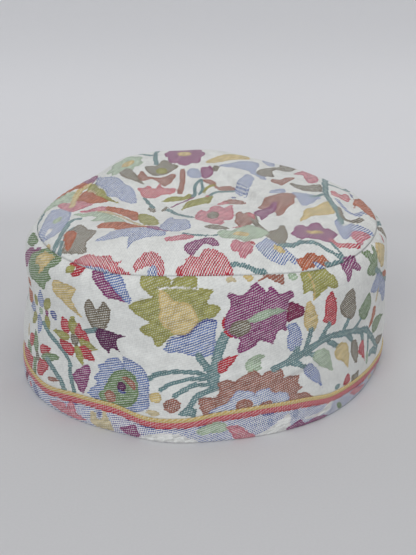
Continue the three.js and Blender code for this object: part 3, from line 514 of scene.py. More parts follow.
CROWN_BASE = (
    # Front left
    stem("teal", 1.8, (-81, 0), (-81.5, -8), (-83, -16), (-82, -22)),
    shape("blue", (-77, -2), (-70, 0), (-66, -10), (-67, -25), (-70, -38), (-76, -38), (-80, -30),
          (-79, -18)),
    stem("teal", 2.3, (-61, -17), (-64.5, -20), (-66, -26), (-67, -35), (-68.5, -45), (-70, -51)),
    stem("teal", 1.9, (-62.6, -31), (-64.6, -38), (-65.4, -44), (-66.4, -50), (-67, -56)),
    shape("taupe", (-61, -28.5), (-57.5, -32), (-55, -38), (-50.5, -42), (-51, -47), (-53.5, -53),
          (-54, -57), (-53, -62), (-56, -61.5), (-61, -59), (-65, -55), (-65, -50), (-64, -36)),
    disc("yellow", (-73.6, -45.5), 3, 5.4),
    shape("rose", (-60, -63.6), (-52, -63.6), (-48.5, -66), (-43, -67.6), (-41.3, -69.2),
          (-40, -72), (-36.8, -72.2), (-38, -74.5), (-31, -79.5), (-36, -78.4), (-42, -75),
          (-49, -71.2), (-55, -67.4)),
    shape("rose", (-30.4, -78.6), (-31.2, -75.5), (-28.6, -72.3), (-25, -70.2), (-20.8, -71.8),
          (-18.2, -75), (-17.2, -79), (-17.4, -83), (-20.2, -81.6), (-22, -78.4), (-25, -77.2),
          (-29.4, -78.2)),
    shape("mint", (-65, -12), (-55, -11.5), (-48, -16), (-42, -23), (-38, -31), (-37, -40),
          (-47, -33), (-48, -27), (-55, -25), (-53, -18)),
    stem("cream", 2, (-52, -12), (-44, -18), (-38, -26), (-34, -36), (-28, -46)),
    shape("pink", (-62, -9), (-50, -7.5), (-46, -9), (-46.6, -13), (-52, -12)),
    shape("orange", (-48, -8), (-44, -8.5), (-38, -11), (-33, -15), (-31.5, -20), (-31, -30),
          (-33, -33), (-37, -24), (-42, -17), (-48, -12)),
    shape("olive", (-31.5, -18), (-28, -19), (-24, -25), (-21.5, -35), (-21, -45), (-22.5, -47),
          (-27, -44), (-30, -37), (-31.5, -28)),
    shape("orange", (-49, -32), (-44, -32), (-39, -34.5), (-34, -40), (-29, -45.5), (-24, -48),
          (-26, -50.6), (-35, -46.4), (-41, -44.5), (-42, -42), (-47, -39), (-50.6, -38)),
    shape("purple", (-25, -48), (-21, -50), (-17, -54), (-14.4, -56.6), (-22, -53.2), (-26, -50.6)),
    shape("blue", (-49.4, -55.8), (-45, -52), (-43, -47), (-38, -45.8), (-30, -49.4), (-22, -53.6),
          (-17, -56.8), (-18.5, -60), (-27, -60.8), (-31, -62.2), (-34, -65.8), (-34, -65.8),
          (-34.4, -57.6), (-37, -56.8), (-42, -57.8)),
    shape("blue", (-20, -52), (-18.4, -42), (-17, -35), (-15.6, -29), (-13, -36.4), (-8, -40),
          (-6.3, -47), (-6, -53.5), (-9, -55.7), (-14, -56.2)),
    stem("teal", 2.5, (-18, -13), (-15, -17), (-12, -23), (-8.5, -30), (-5, -36)),
    blade("taupe", 3.4, (-26.6, -9.6), (-24, -17)),
    blade("taupe", 2.4, (-18.4, -9.4), (-20.2, -15.6)),
    stem("teal", 2, (-29.5, 0), (-28, -4), (-25, -10)),
    shape("olive", (-21, -4), (-16, 0), (-10, 0), (-7, 3), (-5, 1), (-8, -3), (-15, -4.5)),
    stem("purple", 1.2, (-5, -1), (-9, -5), (-16, -10.5)),
    shape("olive", (0, -2), (5, -1), (3, -10), (0, -10.5), (-7, -13), (-11, -15.5), (-9, -8),
          (-7, -5)),
    shape("pink", (-17, -62.5), (-12, -60.5), (-7, -60), (-4, -62.5), (-8, -64), (-16, -65)),
    stem("teal", 1.3, (-9, -58.5), (-4, -60.6), (3, -62.2), (9, -61.4)),
    shape("purple", (-8.4, -69), (-5, -66), (0, -64.2), (3, -63.6), (6, -65.6), (7.4, -69.4),
          (4.5, -69.8), (1, -68.4), (-2, -70.6), (-4, -74.4), (-6.8, -73.4)),
    shape("rose", (-8.5, -76.5), (-5, -74.8), (-1.4, -75.4), (0.5, -71.3), (5, -71.8), (10, -74.8),
          (12.2, -79), (13, -84.6), (0, -85.8), (-8, -84.5), (-11, -81), (-9, -79), (-7.4, -77.5)),
    stem("rose", 0.9, (-56, -68.6), (-46, -75.6), (-34, -81.4), (-22, -84.6)),

    # Front right
    shape("pink", (-3.5, -30), (-1, -22), (2, -27), (4, -19), (6, -16.5), (8.5, -20), (10, -24),
          (12, -20), (14, -18), (14.5, -28), (14, -40), (10.5, -43), (9, -48), (7.5, -49), (1, -46),
          (-3, -42), (-4, -36)),
    shape("brick", (8, -16), (10, -9.5), (14, -6.5), (17.5, -8), (20, -12), (20.5, -17.5),
          (15, -16.6), (10, -14.6)),
    shape("brick", (15.3, -38), (16, -33), (17.6, -30.6), (19, -33.4), (19.8, -34.6), (21.5, -32.6),
          (23.4, -36), (24.4, -43), (22.6, -49), (20.6, -52.4), (17, -52.2), (15, -46)),
    blade("rose", 1.6, (12.6, -53), (21, -51.6)),
    stem("taupe", 3.2, (23.6, -38), (25, -50), (28, -56), (31, -60), (36.4, -64.4)),
    shape("taupe", (36, -49.6), (38, -49.6), (38.8, -58), (36.6, -64.4), (31, -57), (34.6, -53)),
    shape("taupe", (0.6, -52), (6, -49.3), (12.4, -54.2), (5, -55.4)),
    shape("mint", (6.6, -60), (9, -55.8), (13, -57), (16, -53.8), (22, -50.3), (25.4, -53),
          (30.2, -57), (27.2, -61), (22, -64.3), (20, -66.2), (15, -64.7), (9, -64.2)),
    shape("pink", (12.8, -67), (15, -64.9), (18, -66.5), (21, -65.9), (22.7, -70), (20.5, -73.2),
          (17.5, -75.4), (16, -72.2), (13.3, -72.2)),
    stem("teal", 1.9, (13, -78.5), (18, -78.5), (24, -80), (28, -79.6)),
    shape("blue", (23.8, -68), (27, -63.8), (29.5, -61.8), (33, -64.3), (36.5, -65.3), (39, -67.8),
          (42.2, -69.8), (42.2, -72.8), (38.5, -72.7), (35.5, -75.3), (32, -74.7), (28, -73.2),
          (26, -71.2)),
    shape("orange", (42.2, -71), (45, -69.3), (47, -66.3), (50, -64), (52.5, -64.8), (55, -63.6),
          (57.4, -67), (52, -70.2), (48, -72.8), (44.4, -74.4)),
    stem("teal", 2.3, (35, -65.6), (38, -64.2), (41, -63.5), (45, -60), (49, -57.5), (53, -57),
         (57, -59), (62, -60), (66, -60)),
    stem("teal", 1.5, (59, -52), (61, -55), (64.4, -58.6)),
    stem("teal", 2.0, (56, -67.6), (61, -64.6), (66, -60.4)),
    shape("purple", (40.8, -55.5), (42.5, -50.8), (43.5, -46.8), (46.5, -44.2), (49, -45.3),
          (51, -41.2), (55, -39.2), (57, -42.8), (60, -41.8), (63.2, -44), (61.2, -49),
          (58.5, -53.2), (53, -54.2), (48.5, -55.2), (44.5, -57.3), (42.5, -56.2)),
    stem("rose", 2.5, (60, -51), (63, -53), (67, -51), (73.4, -46.6)),
    shape("brick", (26.5, -25.5), (29, -20.5), (34, -16), (38, -12), (43, -11), (47, -13),
          (44.5, -17), (44, -23), (40, -30), (38, -35), (35, -37.5), (34.5, -33), (30, -29)),
    shape("blue", (33, -12), (34, -8), (39, -5), (41, -7), (39, -11)),
    shape("blue", (44, -10), (48, -9), (57.5, -10), (56, -14), (53, -19), (49, -24), (47, -21),
          (46, -15)),
    shape("yellow", (62, -13), (58, -18), (55, -22.5), (50, -27), (47.5, -34), (46, -40.5),
          (49, -37), (53, -33), (58, -29.5), (63.5, -25), (64, -19)),
    stem("teal", 3.2, (67, 55), (65.5, 40), (64, 25), (62.5, 10), (62, 0), (62.5, -8), (64, -16),
         (66, -24), (66.5, -32)),
    stem("teal", 1.8, (60.5, -4), (57, -9), (53, -12)),
    stem("taupe", 2.2, (67, -17), (67.5, -25), (70, -28.5), (74, -26), (78, -19)),
    stem("blue", 2.2, (67, -5), (69.5, -13), (73, -18), (77, -15), (80.5, -8)),
    shape("blue", (64, -29), (67, -35), (70, -32), (76, -28), (82.5, -28), (79, -33), (72, -36),
          (70, -40), (68, -45), (65.5, -46), (63.5, -36)),
    shape("pink", (70, -41), (74, -34.5), (81, -32), (77, -40), (74, -46), (71, -43)),
    shape("purple", (64.6, -61), (67.4, -57), (71, -54), (71.6, -57.6), (67.6, -62)),
    disc("navy", (15.5, -4.5), 2.2, 2.6),

    # Back left
    shape("orange", (-79, 20), (-76.1, 22.1), (-73.7, 27.2), (-70.6, 33), (-65.8, 36.4),
          (-62.5, 35.6), (-62, 42), (-65, 46), (-69, 44), (-75, 38), (-79, 30)),
    shape("purple", (-67, 52), (-61, 50), (-57, 42), (-60, 37.4), (-63.4, 41), (-66, 46)),
    shape("mint", (-81.6, 0), (-80.6, 9.8), (-77.6, 19.4), (-74, 27.1), (-70, 32), (-67.8, 29.2),
          (-68, 18.5), (-71, 12.7), (-74.5, 9.3), (-78, 3)),
    shape("pink", (-74.8, 6.6), (-73, 13.1), (-69.4, 12), (-65, 9.6), (-60, 4), (-55.8, 0.4),
          (-52.6, -0.9), (-57.5, -4.1), (-61.2, -6.6), (-65, -8), (-69.4, -4)),
    shape("orange", (-65.2, 9.3), (-66, 20), (-65, 29.4), (-62.2, 31), (-58, 22), (-55.6, 11.2),
          (-51.6, 3.7), (-47.6, -0.9), (-52.1, -3.2), (-57.9, -1), (-61, 3)),
    stem("yellow", 3.2, (-61.4, 38), (-65.4, 34), (-67.2, 29), (-67.6, 21), (-67, 8), (-66.6, 0)),
    shape("olive", (-61, 37), (-57.4, 34), (-55, 22), (-51, 12), (-48, 3), (-42.5, -3.5),
          (-47.4, -1.4), (-52, 4.4), (-56, 12), (-59, 24), (-62, 31)),
    shape("blue", (-57, 41), (-52, 33), (-46, 24.6), (-41, 16), (-36, 8), (-33.6, -4), (-39, -3),
          (-45, 3), (-49, 5), (-50, 12), (-54, 22), (-57.4, 33)),
    rosette("mint", (-42, 39), 20, 7, 0.26, 20, 1.15),
    shape("taupe", (-43.6, 32), (-40, 33), (-36, 25), (-33, 18), (-31, 13), (-36, 18), (-41, 21.5),
          (-44.4, 28)),
    stem("teal", 2.4, (-25, 56), (-26, 44), (-25, 33)),
    stem("teal", 1.8, (-37, 56), (-31, 48), (-26.4, 44)),
    shape("taupe", (-31, 31), (-25, 31), (-21, 36.6), (-17, 32), (-13.6, 29), (-18, 23.6),
          (-20, 21), (-24, 19.4), (-28, 22), (-30, 26)),
    shape("brick", (-32.4, 26), (-34, 20), (-31, 16.6), (-27, 17.4), (-23, 13.6), (-20, 9.6),
          (-15.4, 16), (-14.6, 21), (-18, 20.4), (-20.6, 18), (-24, 17.6), (-29, 20)),
    shape("rose", (-33.7, 9.6), (-31, 9), (-28.5, 11.4), (-26, 8), (-24, 8.5), (-22.3, 12),
          (-20, 8), (-14.6, 8), (-16, 3), (-21, 2.3), (-25, -0.4), (-30, 0.3), (-32.2, 5)),
    stem("brick", 2.7, (-10.8, 25), (-11, 15), (-12, 4)),
    shape("blue", (-8.6, 21), (-7.6, 25.6), (-3, 26.6), (-1, 20), (-4.6, 17.6)),
    shape("purple", (-1.6, 27), (3.6, 29), (5, 23), (1.6, 17.6), (-0.6, 19)),
    rosette("purple", (-10, 43), 22, 8, 0.18, 0, 1.2),
    stem("teal", 2, (-1, 16), (-4, 12), (-4.5, 4), (-5, 0)),
    stem("teal", 1.5, (-1, 15), (-0.5, 8), (-2, 2)),

    # Back right
    shape("yellow", (1, 33), (5, 38), (12, 44), (19, 48), (24, 48.6), (24, 42), (17, 37.4),
          (9, 32.4), (5, 31)),
    shape("blue", (8, 27.6), (15, 31), (20, 34.8), (26, 36.4), (29.4, 34), (28.4, 27), (26, 20),
          (22, 23), (14, 25.6)),
    stem("blue", 3, (26, 20), (29, 16), (30.6, 11)),
    disc("taupe", (6.5, 26), 3.4, 3.4),
    blade("brick", 3.6, (-0.4, 16), (7, 12)),
    shape("brick", (5, 11), (8, 9), (13, 10), (16.4, 6), (13, 5), (8, 6)),
    stem("olive", 1.4, (0, 4), (2, 9), (6, 11)),
    stem("teal", 2, (3, 0), (6, 3.4), (10, 4), (15, 4.2)),
    disc("rose", (2, -0.5), 2, 2),
    shape("blue", (16.3, 7), (20, 13), (23, 17.4), (25.7, 12), (24.2, 3), (22, -5.3), (19, -3),
          (16.8, 1)),
    shape("taupe", (52, 54), (48, 35), (44, 28), (38, 26), (35.5, 22), (36.8, 15), (31, 14.6),
          (27.6, 19), (29.6, 25.4), (36, 30), (40, 33), (41, 45), (43, 56)),
    shape("blue", (33, 54), (32, 44), (34, 35), (37.4, 34), (38.4, 46), (39, 56)),
    shape("pink", (47, 24), (50, 32), (53, 40), (56, 55), (61.6, 55), (60.4, 40), (60, 22),
          (57, 13), (54, 10), (52.5, 16), (52, 25)),
    shape("brick", (34.6, 7), (35.4, 11.4), (39, 10.3), (43, 14.3), (47, 16), (45.2, 10), (40, 1),
          (37, 3.8)),
    shape("taupe", (44.2, 5), (45, -0.4), (50, -5.4), (56, -4.4), (60, 1), (60.4, 12), (57, 9.4),
          (53, 3.4), (49, 2.2)),
    stem("teal", 3, (78, 42), (76, 28), (71, 20), (66, 17)),
    stem("navy", 1.5, (77, 20), (76.5, 10)),
    shape("orange", (84, 25), (80, 15), (77, 6), (75.4, -8.5), (78, -3), (82, -8), (85, -9),
          (87, -4), (87, 10), (86, 22)),
    shape("rose", (64.6, 4), (66.5, 7), (70, 4.4), (73, 9.4), (75, 8), (73.8, 0), (71.6, -3),
          (68.6, -1), (65.4, 0.6)),
)

CROWN_INNER = (
    disc("mint", (-72, -17), 3.4, 9.4, -12),
    disc("ivory", (-74.4, -31.6), 3, 7, -12),
    shape("orange", (-65.4, -36), (-61.4, -35.6), (-59.8, -45), (-61, -54), (-63, -55.7),
          (-65.7, -45)),
    stem("cream", 1.2, (-55.4, 12), (-58, 20), (-61, 30)),
    disc("taupe", (4.5, -35), 5.6, 12),
    blade("rose", 4.6, (8, -16.4), (12, -9)),
    blade("rose", 2.6, (22, -34), (24.3, -44)),
    disc("yellow", (17.5, -60), 8, 4),
    disc("yellow", (34.5, -67.4), 6, 3.2, -24),
    disc("blue", (52.4, -69.6), 6, 2.2),
    stem("yellow", 2.4, (49, -50), (52, -48.6), (55, -47)),
    shape("purple", (25.6, -31), (31, -26), (35.5, -24), (34.6, -31), (31, -38), (29, -43),
          (27.8, -45.4), (26.3, -40), (24.3, -35)),
    disc("yellow", (-40.6, 39), 7, 7),
    disc("olive", (-22, 25), 6, 7),
    disc("yellow", (-10.4, 42.6), 7.4, 7),
    disc("red", (22.2, -66.2), 2.4, 2.4),
    disc("red", (-10.4, -81.9), 2.4, 2.6),
    disc("red", (11.3, -83.3), 2.2, 2.2),
    shape("blue", (-56, -68.2), (-50, -70.4), (-43, -74.4), (-42, -77.4), (-50, -73.4)),
    shape("blue", (-24.6, -81), (-22.4, -77.6), (-20.6, -78.4), (-21.4, -83)),
)

# Flowers and leaves of the crown's far side, which no other motif reaches
CROWN_FAR = (
    rosette("rose", (14, 68), 19, 8, 0.18, 10),
    rosette("blue", (-58, 62), 13, 6, 0.2, 0),
    rosette("orange", (58, 62), 12, 6, 0.2, 15),
    blade("olive", 7, (28, 62), (46, 76), 2),
    blade("mint", 7, (2, 62), (-12, 74), -2),
    blade("taupe", 7, (22, 76), (34, 85), 1),
    blade("blue", 6, (-4, 82), (8, 87), 1),
    stem("teal", 2.6, (-52, 66), (-40, 68), (-28, 64), (-14, 60), (0, 58), (16, 56), (34, 58)),
    blade("purple", 7, (-38, 70), (-24, 82), 2),
    blade("yellow", 6, (-26, 66), (-14, 84), -2),
    blade("leaf", 7, (-44, 66), (-46, 78), 1),
    blade("pink", 6, (68, 56), (74, 44), 1),
    blade("brick", 5, (-76, 44), (-70, 56), 1),
)
CROWN_FAR_HEARTS = (
    disc("yellow", (14, 68), 7, 7),
    disc("cream", (-58, 62), 5, 5),
    disc("yellow", (58, 62), 4.6, 4.6),
)

# How the weave's flecks and streaks stretch along and across its ribs, and what tints it
FLECK_STRETCH = (1.7, 2.8, 1.0)
STREAK_STRETCH = (0.24, 0.62, 1.0)
OUTLINE_TINT = (0.56, 0.44, 0.54, 1)
SPECK_COLOUR = (0.46, 0.50, 0.62, 1)
GROUND_SHADE = 0.62
Stripe = namedtuple("Stripe", "dark pale")
RED_STRIPE = Stripe((0.16, 0.02, 0.05), (0.80, 0.52, 0.54))
YELLOW_STRIPE = Stripe((0.24, 0.16, 0.06), (0.82, 0.75, 0.54))

# The stage, in metres: a sheet that bends up behind the cap, and two soft lamps
SHEET = {"width": 2.4, "front": -1.4, "back": 0.42, "tall": 1.5, "bend": 0.20}
Lamp = namedtuple("Lamp", "name place size power colour")
LAMPS = (
    Lamp("window_light", (-0.4, -2.05, 1.55), 2.0, 26.0, (0.955, 0.98, 1.0)),
    Lamp("top_light", (0.5, -0.1, 2.2), 2.2, 13.2, (1.0, 0.965, 0.93)),
)
LAMP_TARGET = (0, 0, 0.04)
ROOM_COLOUR = (0.93, 0.95, 1.0, 1)
ROOM_LIGHT = 0.24
CAMERA_TARGET = (0.00146, 0.00063, 0.0441)


def bell(distance, spread):
    """1 at no distance, falling off on both sides over the spread."""
    return np.exp(-0.5 * (distance / spread) ** 2)


def degrees_between(a, b):
    return (a - b + 180) % 360 - 180


def smooth_step(value):
    share = np.clip(value, 0, 1)
    return share * share * (3 - 2 * share)


def curve_through(rows):
    """A smooth curve through a table's rows that never swings past them."""
    across, up = np.array(rows, float).T
    steps = np.diff(up) / np.diff(across)
    before = np.concatenate((steps[:1], steps))
    after = np.concatenate((steps, steps[-1:]))
    product = before * after
    slopes = np.where(product <= 0, 0, 2 * product / np.where(product <= 0, 1, before + after))

    def value(x):
        at = np.clip(x, across[0], across[-1])
        i = np.clip(np.searchsorted(across, at, side="right") - 1, 0, len(across) - 2)
        span = across[i + 1] - across[i]
        t = (at - across[i]) / span
        rise = smooth_step(t)
        swing = slopes[i] * t * (1 - t) ** 2 + slopes[i + 1] * t * t * (t - 1)
        return up[i] * (1 - rise) + up[i + 1] * rise + span * swing

    return value


wall_section = curve_through(WALL_SECTION)
lean_shift = curve_through(LEAN)
crown_section = curve_through(CROWN_SECTION)
border_curve = curve_through(BORDER_HEIGHTS)


def seam_height(angle):
    waves = (w.out * bell(degrees_between(angle, w.angle), w.spread) for w in SEAM_WAVES)
    return SEAM_HEIGHT + sum(waves)


def border_top(angle):
    start = BORDER_HEIGHTS[0][0]
    return border_curve(start + (angle - start) % 360)


def wall_radius(angle, share):
    radius = RIM_RADIUS * wall_section(share)
    for bulge in RIM_BULGES:
        around = bell(degrees_between(angle, bulge.angle), bulge.spread)
        radius = radius + bulge.out * around * bell(share, RIM_FADE)
    for dent in WALL_DENTS:
        around = bell(degrees_between(angle, dent.angle), dent.spread)
        radius = radius + dent.out * around * bell(share - dent.height, dent.reach)
    return radius


def plan_to_part(x, y, z):
    """A place of the plan, which is drawn round the rim's middle, in the part's frame."""
    return np.stack([x + PLAN_SHIFT[0], y + PLAN_SHIFT[1], z], axis=-1)


def wall_point(angle, height, outward):
    """A point of the wall at a height, moved outward from the cloth's outer face."""
    share = height / seam_height(angle)
    radius = wall_radius(angle, share) + outward
    turn = np.radians(angle)
    x = radius * np.cos(turn) + lean_shift(share)
    return plan_to_part(x, radius * np.sin(turn), height + 0 * angle)


def from_crease(x, y):
    """Signed distance from the crease, and a value that is 1 at its middle and 0 at its ends."""
    best = np.full(x.shape, np.inf)
    signed = np.zeros(x.shape)
    along = np.zeros(x.shape)
    legs = len(CREASE_PATH) - 1
    for leg in range(legs):
        (x0, y0), (x1, y1) = CREASE_PATH[leg], CREASE_PATH[leg + 1]
        dx, dy = x1 - x0, y1 - y0
        share = np.clip(((x - x0) * dx + (y - y0) * dy) / (dx * dx + dy * dy), 0, 1)
        off_x, off_y = x - x0 - share * dx, y - y0 - share * dy
        distance = np.hypot(off_x, off_y)
        closer = distance < best
        side = np.where(dx * off_y - dy * off_x > 0, 1, -1)
        best = np.where(closer, distance, best)
        signed = np.where(closer, side * distance, signed)
        along = np.where(closer, (leg + share) / legs, along)
    return signed, np.sin(np.pi * along)


def crease_rise(x, y):
    signed, middle = from_crease(x, y)
    outside = smooth_step(signed / CREASE["soft"] + 0.5)
    lip = CREASE["lip"] * outside * bell(signed, CREASE["lip_width"])
    hollow = CREASE["hollow"] * (1 - outside) * bell(signed, CREASE["hollow_width"])
    return middle * (lip - hollow)


def fold_rise(folds, x, y, per_degree=None):
    """The rise of a set of folds. With per_degree, x is an angle of that many mm a degree."""
    rise = np.zeros(np.broadcast(x, y).shape)
    for fold in folds:
        turn = math.radians(fold.turn)
        dx = x - fold.x if per_degree is None else degrees_between(x, fold.x) * per_degree
        dy = y - fold.y
        along = dx * math.cos(turn) + dy * math.sin(turn)
        beside = dy * math.cos(turn) - dx * math.sin(turn)
        rise = rise + fold.rise * bell(along, fold.length) * bell(beside, fold.width)
    return rise


def cloth_ripple(x, y):
    """Slow shallow waves of unpressed cloth, in millimetres."""
    slow = np.sin(x / 9.1 + 1.3 * np.sin(y / 17.0)) * np.sin(y / 11.7 + 0.8 * np.sin(x / 13.0))
    quick = np.sin(x / 4.3 + y / 6.1 + 1.7 * np.sin(x / 19.0))
    return RIPPLE["slow"] * slow + RIPPLE["quick"] * quick


def seam_puckers(angle, distance):
    """The gathers that the seam draws into the cloth at a distance from it."""
    along = angle * WALL_DEGREE
    wave = np.sin(2 * np.pi * along / PUCKER["pitch"] + 1.4 * np.sin(along / 11.0))
    return PUCKER["rise"] * wave * np.exp(-distance / PUCKER["fade"]) * smooth_step(distance / 2.0)


def wall_relief(angle, height):
    """What the wrinkles, puckers and the seam add to the wall's outer face."""
    below_seam = seam_height(angle) - height
    fade = smooth_step(below_seam / RELIEF_FADE["seam"])
    fade = fade * smooth_step((height - RELIEF_FADE["foot"]) / RELIEF_FADE["foot_reach"])
    wrinkles = fold_rise(WALL_WRINKLES, angle, height, WALL_DEGREE)
    relief = (wrinkles + cloth_ripple(angle * WALL_DEGREE, height)) * fade
    relief = relief + seam_puckers(angle, below_seam)
    return relief - SEAM_TUCK["depth"] * bell(below_seam, SEAM_TUCK["reach"])


def crown_point(angle, reach, relief=True):
    """A point of the crown's outer face at a share of the way from its middle to its edge.

    The place in the crown's plan comes with it.
    """
    radius = reach * wall_radius(angle, 1.0)
    turn = np.radians(angle)
    x = radius * np.cos(turn) + lean_shift(1.0)
    y = radius * np.sin(turn)
    edge = seam_height(angle) * reach ** 2
    middle = (SEAM_HEIGHT + CROWN_MIDDLE_LIFT) * (1 - reach ** 2)
    fade = smooth_step((1 - reach) / CROWN_EDGE_FADE)
    folds = crease_rise(x, y) + fold_rise(CROWN_FOLDS, x, y)
    if relief:
        folds = folds + fold_rise(CROWN_WRINKLES, x, y) + cloth_ripple(x + CROWN_RIPPLE_SHIFT, y)
    z = edge + middle + crown_section(reach) + folds * fade + SEAT_GAP
    if relief:
        inward = (1 - reach) * RIM_RADIUS
        tuck = SEAM_TUCK["crown_share"] * SEAM_TUCK["depth"]
        z = z + seam_puckers(angle, inward) - tuck * bell(inward, SEAM_TUCK["reach"])
    return plan_to_part(x, y, z), x, y


def smooth_path(points, closed, steps=5):
    """A smooth curve through points, closed or open. A point given twice makes a corner."""
    knots = np.array(points, float)
    count = len(knots)
    if closed:
        index = np.arange(count)
        before, start, end, after = (knots[(index + k) % count] for k in (-1, 0, 1, 2))
    else:
        padded = np.concatenate((knots[:1], knots, knots[-1:]))
        before, start, end, after = (padded[k:k + count - 1] for k in range(4))
    t = (np.arange(steps) / steps)[None, :, None]
    before, start, end, after = (p[:, None] for p in (before, start, end, after))
    curve = 0.5 * (2 * start + (end - before) * t
                   + (2 * before - 5 * start + 4 * end - after) * t ** 2
                   + (3 * start - before - 3 * end + after) * t ** 3)
    curve = curve.reshape(-1, 2)
    return curve if closed else np.concatenate((curve, knots[-1:]))


def oval_outline(middle, wide, tall, turn, points=28):
    around = np.linspace(0, 2 * np.pi, points, endpoint=False)
    x, y = 0.5 * wide * np.cos(around), 0.5 * tall * np.sin(around)
    turned = math.radians(turn)
    return np.stack([middle[0] + x * math.cos(turned) - y * math.sin(turned),
                     middle[1] + x * math.sin(turned) + y * math.cos(turned)], axis=1)


def blade_outline(foot, tip, width, bend, points=12):
    """A leaf, widest a little before its middle, with a blunt foot and a pointed tip."""
    along = np.linspace(0, 1, points)
    half = 0.5 * width * np.sin(np.pi * along ** 0.8) ** 0.75
    spine = foot + along[:, None] * (tip - foot)
    direction = (tip - foot) / max(np.hypot(*(tip - foot)), 1e-6)
    beside = np.array([-direction[1], direction[0]])
    spine = spine + (bend * np.sin(np.pi * along))[:, None] * beside
    left = spine + half[:, None] * beside
    right = spine - half[:, None] * beside
    return np.concatenate((left, right[-2:0:-1]))


def rosette_outline(middle, across, squash, petals, depth, turn, points=72):
    around = np.linspace(0, 2 * np.pi, points, endpoint=False)
    lobes = np.abs(np.cos(0.5 * petals * (around + math.radians(turn))))
    radius = 0.5 * across * (1 - depth + depth * lobes ** 0.7)
    return np.stack([middle[0] + radius * np.cos(around),
                     middle[1] + squash * radius * np.sin(around)], axis=1)


def motif_distance(motif, places, per_x):
    """Signed distance in millimetres from places to a motif, negative inside it."""
    scale = np.array([per_x, 1.0])
    points = [np.array(p, float) * scale for p in motif.points]
    if motif.form == "stem":
        path = smooth_path(points, closed=False)
        return path_distance(places, path[:-1], path[1:]) - 0.5 * motif.width
    if motif.form == "shape":
        outline = smooth_path(points, closed=True)
    elif motif.form == "patch":
        outline = np.array(points)
    elif motif.form == "blade":
        outline = blade_outline(points[0], points[1], motif.width, motif.bend)
    elif motif.form == "disc":
        wide, tall = motif.points[1]
        outline = oval_outline(points[0], wide, tall, motif.bend)
    else:
        across, squash = motif.points[1]
        petals, depth = motif.points[2]
        outline = rosette_outline(points[0], across, squash, petals, depth, motif.bend)
    start, end = outline, np.roll(outline, -1, axis=0)
    distance = path_distance(places, start, end)
    x, y = places[:, :1], places[:, 1:]
    spans = (start[:, 1] > y) != (end[:, 1] > y)
    rise = np.where(end[:, 1] == start[:, 1], 1.0, end[:, 1] - start[:, 1])
    crossing = start[:, 0] + (y - start[:, 1]) * (end[:, 0] - start[:, 0]) / rise
    inside = (spans & (x < crossing)).sum(axis=1) % 2 == 1
    return np.where(inside, -distance, distance)


def path_distance(places, start, end):
    """Distance from places to the nearest of a row of straight legs."""
    leg = end - start
    length = np.maximum((leg ** 2).sum(axis=1), 1e-9)
    nearest = np.full(len(places), np.inf)
    for i in range(len(start)):
        off = places - start[i]
        share = np.clip(off @ leg[i] / length[i], 0, 1)
        gap = off - share[:, None] * leg[i]
        nearest = np.minimum(nearest, (gap ** 2).sum(axis=1))
    return np.sqrt(nearest)


def motif_reach(motif, per_x):
    """The corners of a box that holds a motif, in millimetres."""
    if motif.form == "disc":
        points = np.array(motif.points[:1], float)
        room = max(motif.points[1]) / 2
    elif motif.form == "rosette":
        across, squash = motif.points[1]
        points = np.array(motif.points[:1], float)
        room = 0.5 * across * max(squash, 1)
    else:
        points = np.array(motif.points, float)
        room = motif.width + abs(motif.bend)
    points = points * (per_x, 1.0)
    return points.min(axis=0) - room, points.max(axis=0) + room


def lay_motifs(motifs, places, per_x, yarns):
    """Distance to the nearest motif of one layer at each place, and that motif's yarn."""
    distance = np.full(len(places), EDGE_REACH)
    colour = np.tile(np.array(yarns["ivory"]), (len(places), 1))
    for motif in motifs:
        low, high = motif_reach(motif, per_x)
        near = np.all((places > low - EDGE_REACH) & (places < high + EDGE_REACH), axis=1)
        index = np.flatnonzero(near)
        if len(index) == 0:
            continue
        found = motif_distance(motif, places[index], per_x)
        nearer = (found < distance[index]) | (found < 0)
        chosen = index[nearer]
        distance[chosen] = np.minimum(found[nearer], distance[chosen])
        colour[chosen] = yarns[motif.yarn]
    return distance, colour


def shift_motif(motif, degrees):
    """The same motif a number of degrees further round."""
    count = 1 if motif.form in ("disc", "rosette") else len(motif.points)
    moved = tuple((p[0] + degrees, p[1]) for p in motif.points[:count])
    return motif._replace(points=moved + tuple(motif.points[count:]))


def carry_round(motifs):
    """The motifs, with a second copy of each one near the angle where they start again."""
    crossing = [m for m in motifs if motif_reach(m, 1.0)[1][0] > WRAP_ANGLE]
    return tuple(motifs) + tuple(shift_motif(m, -360) for m in crossing)


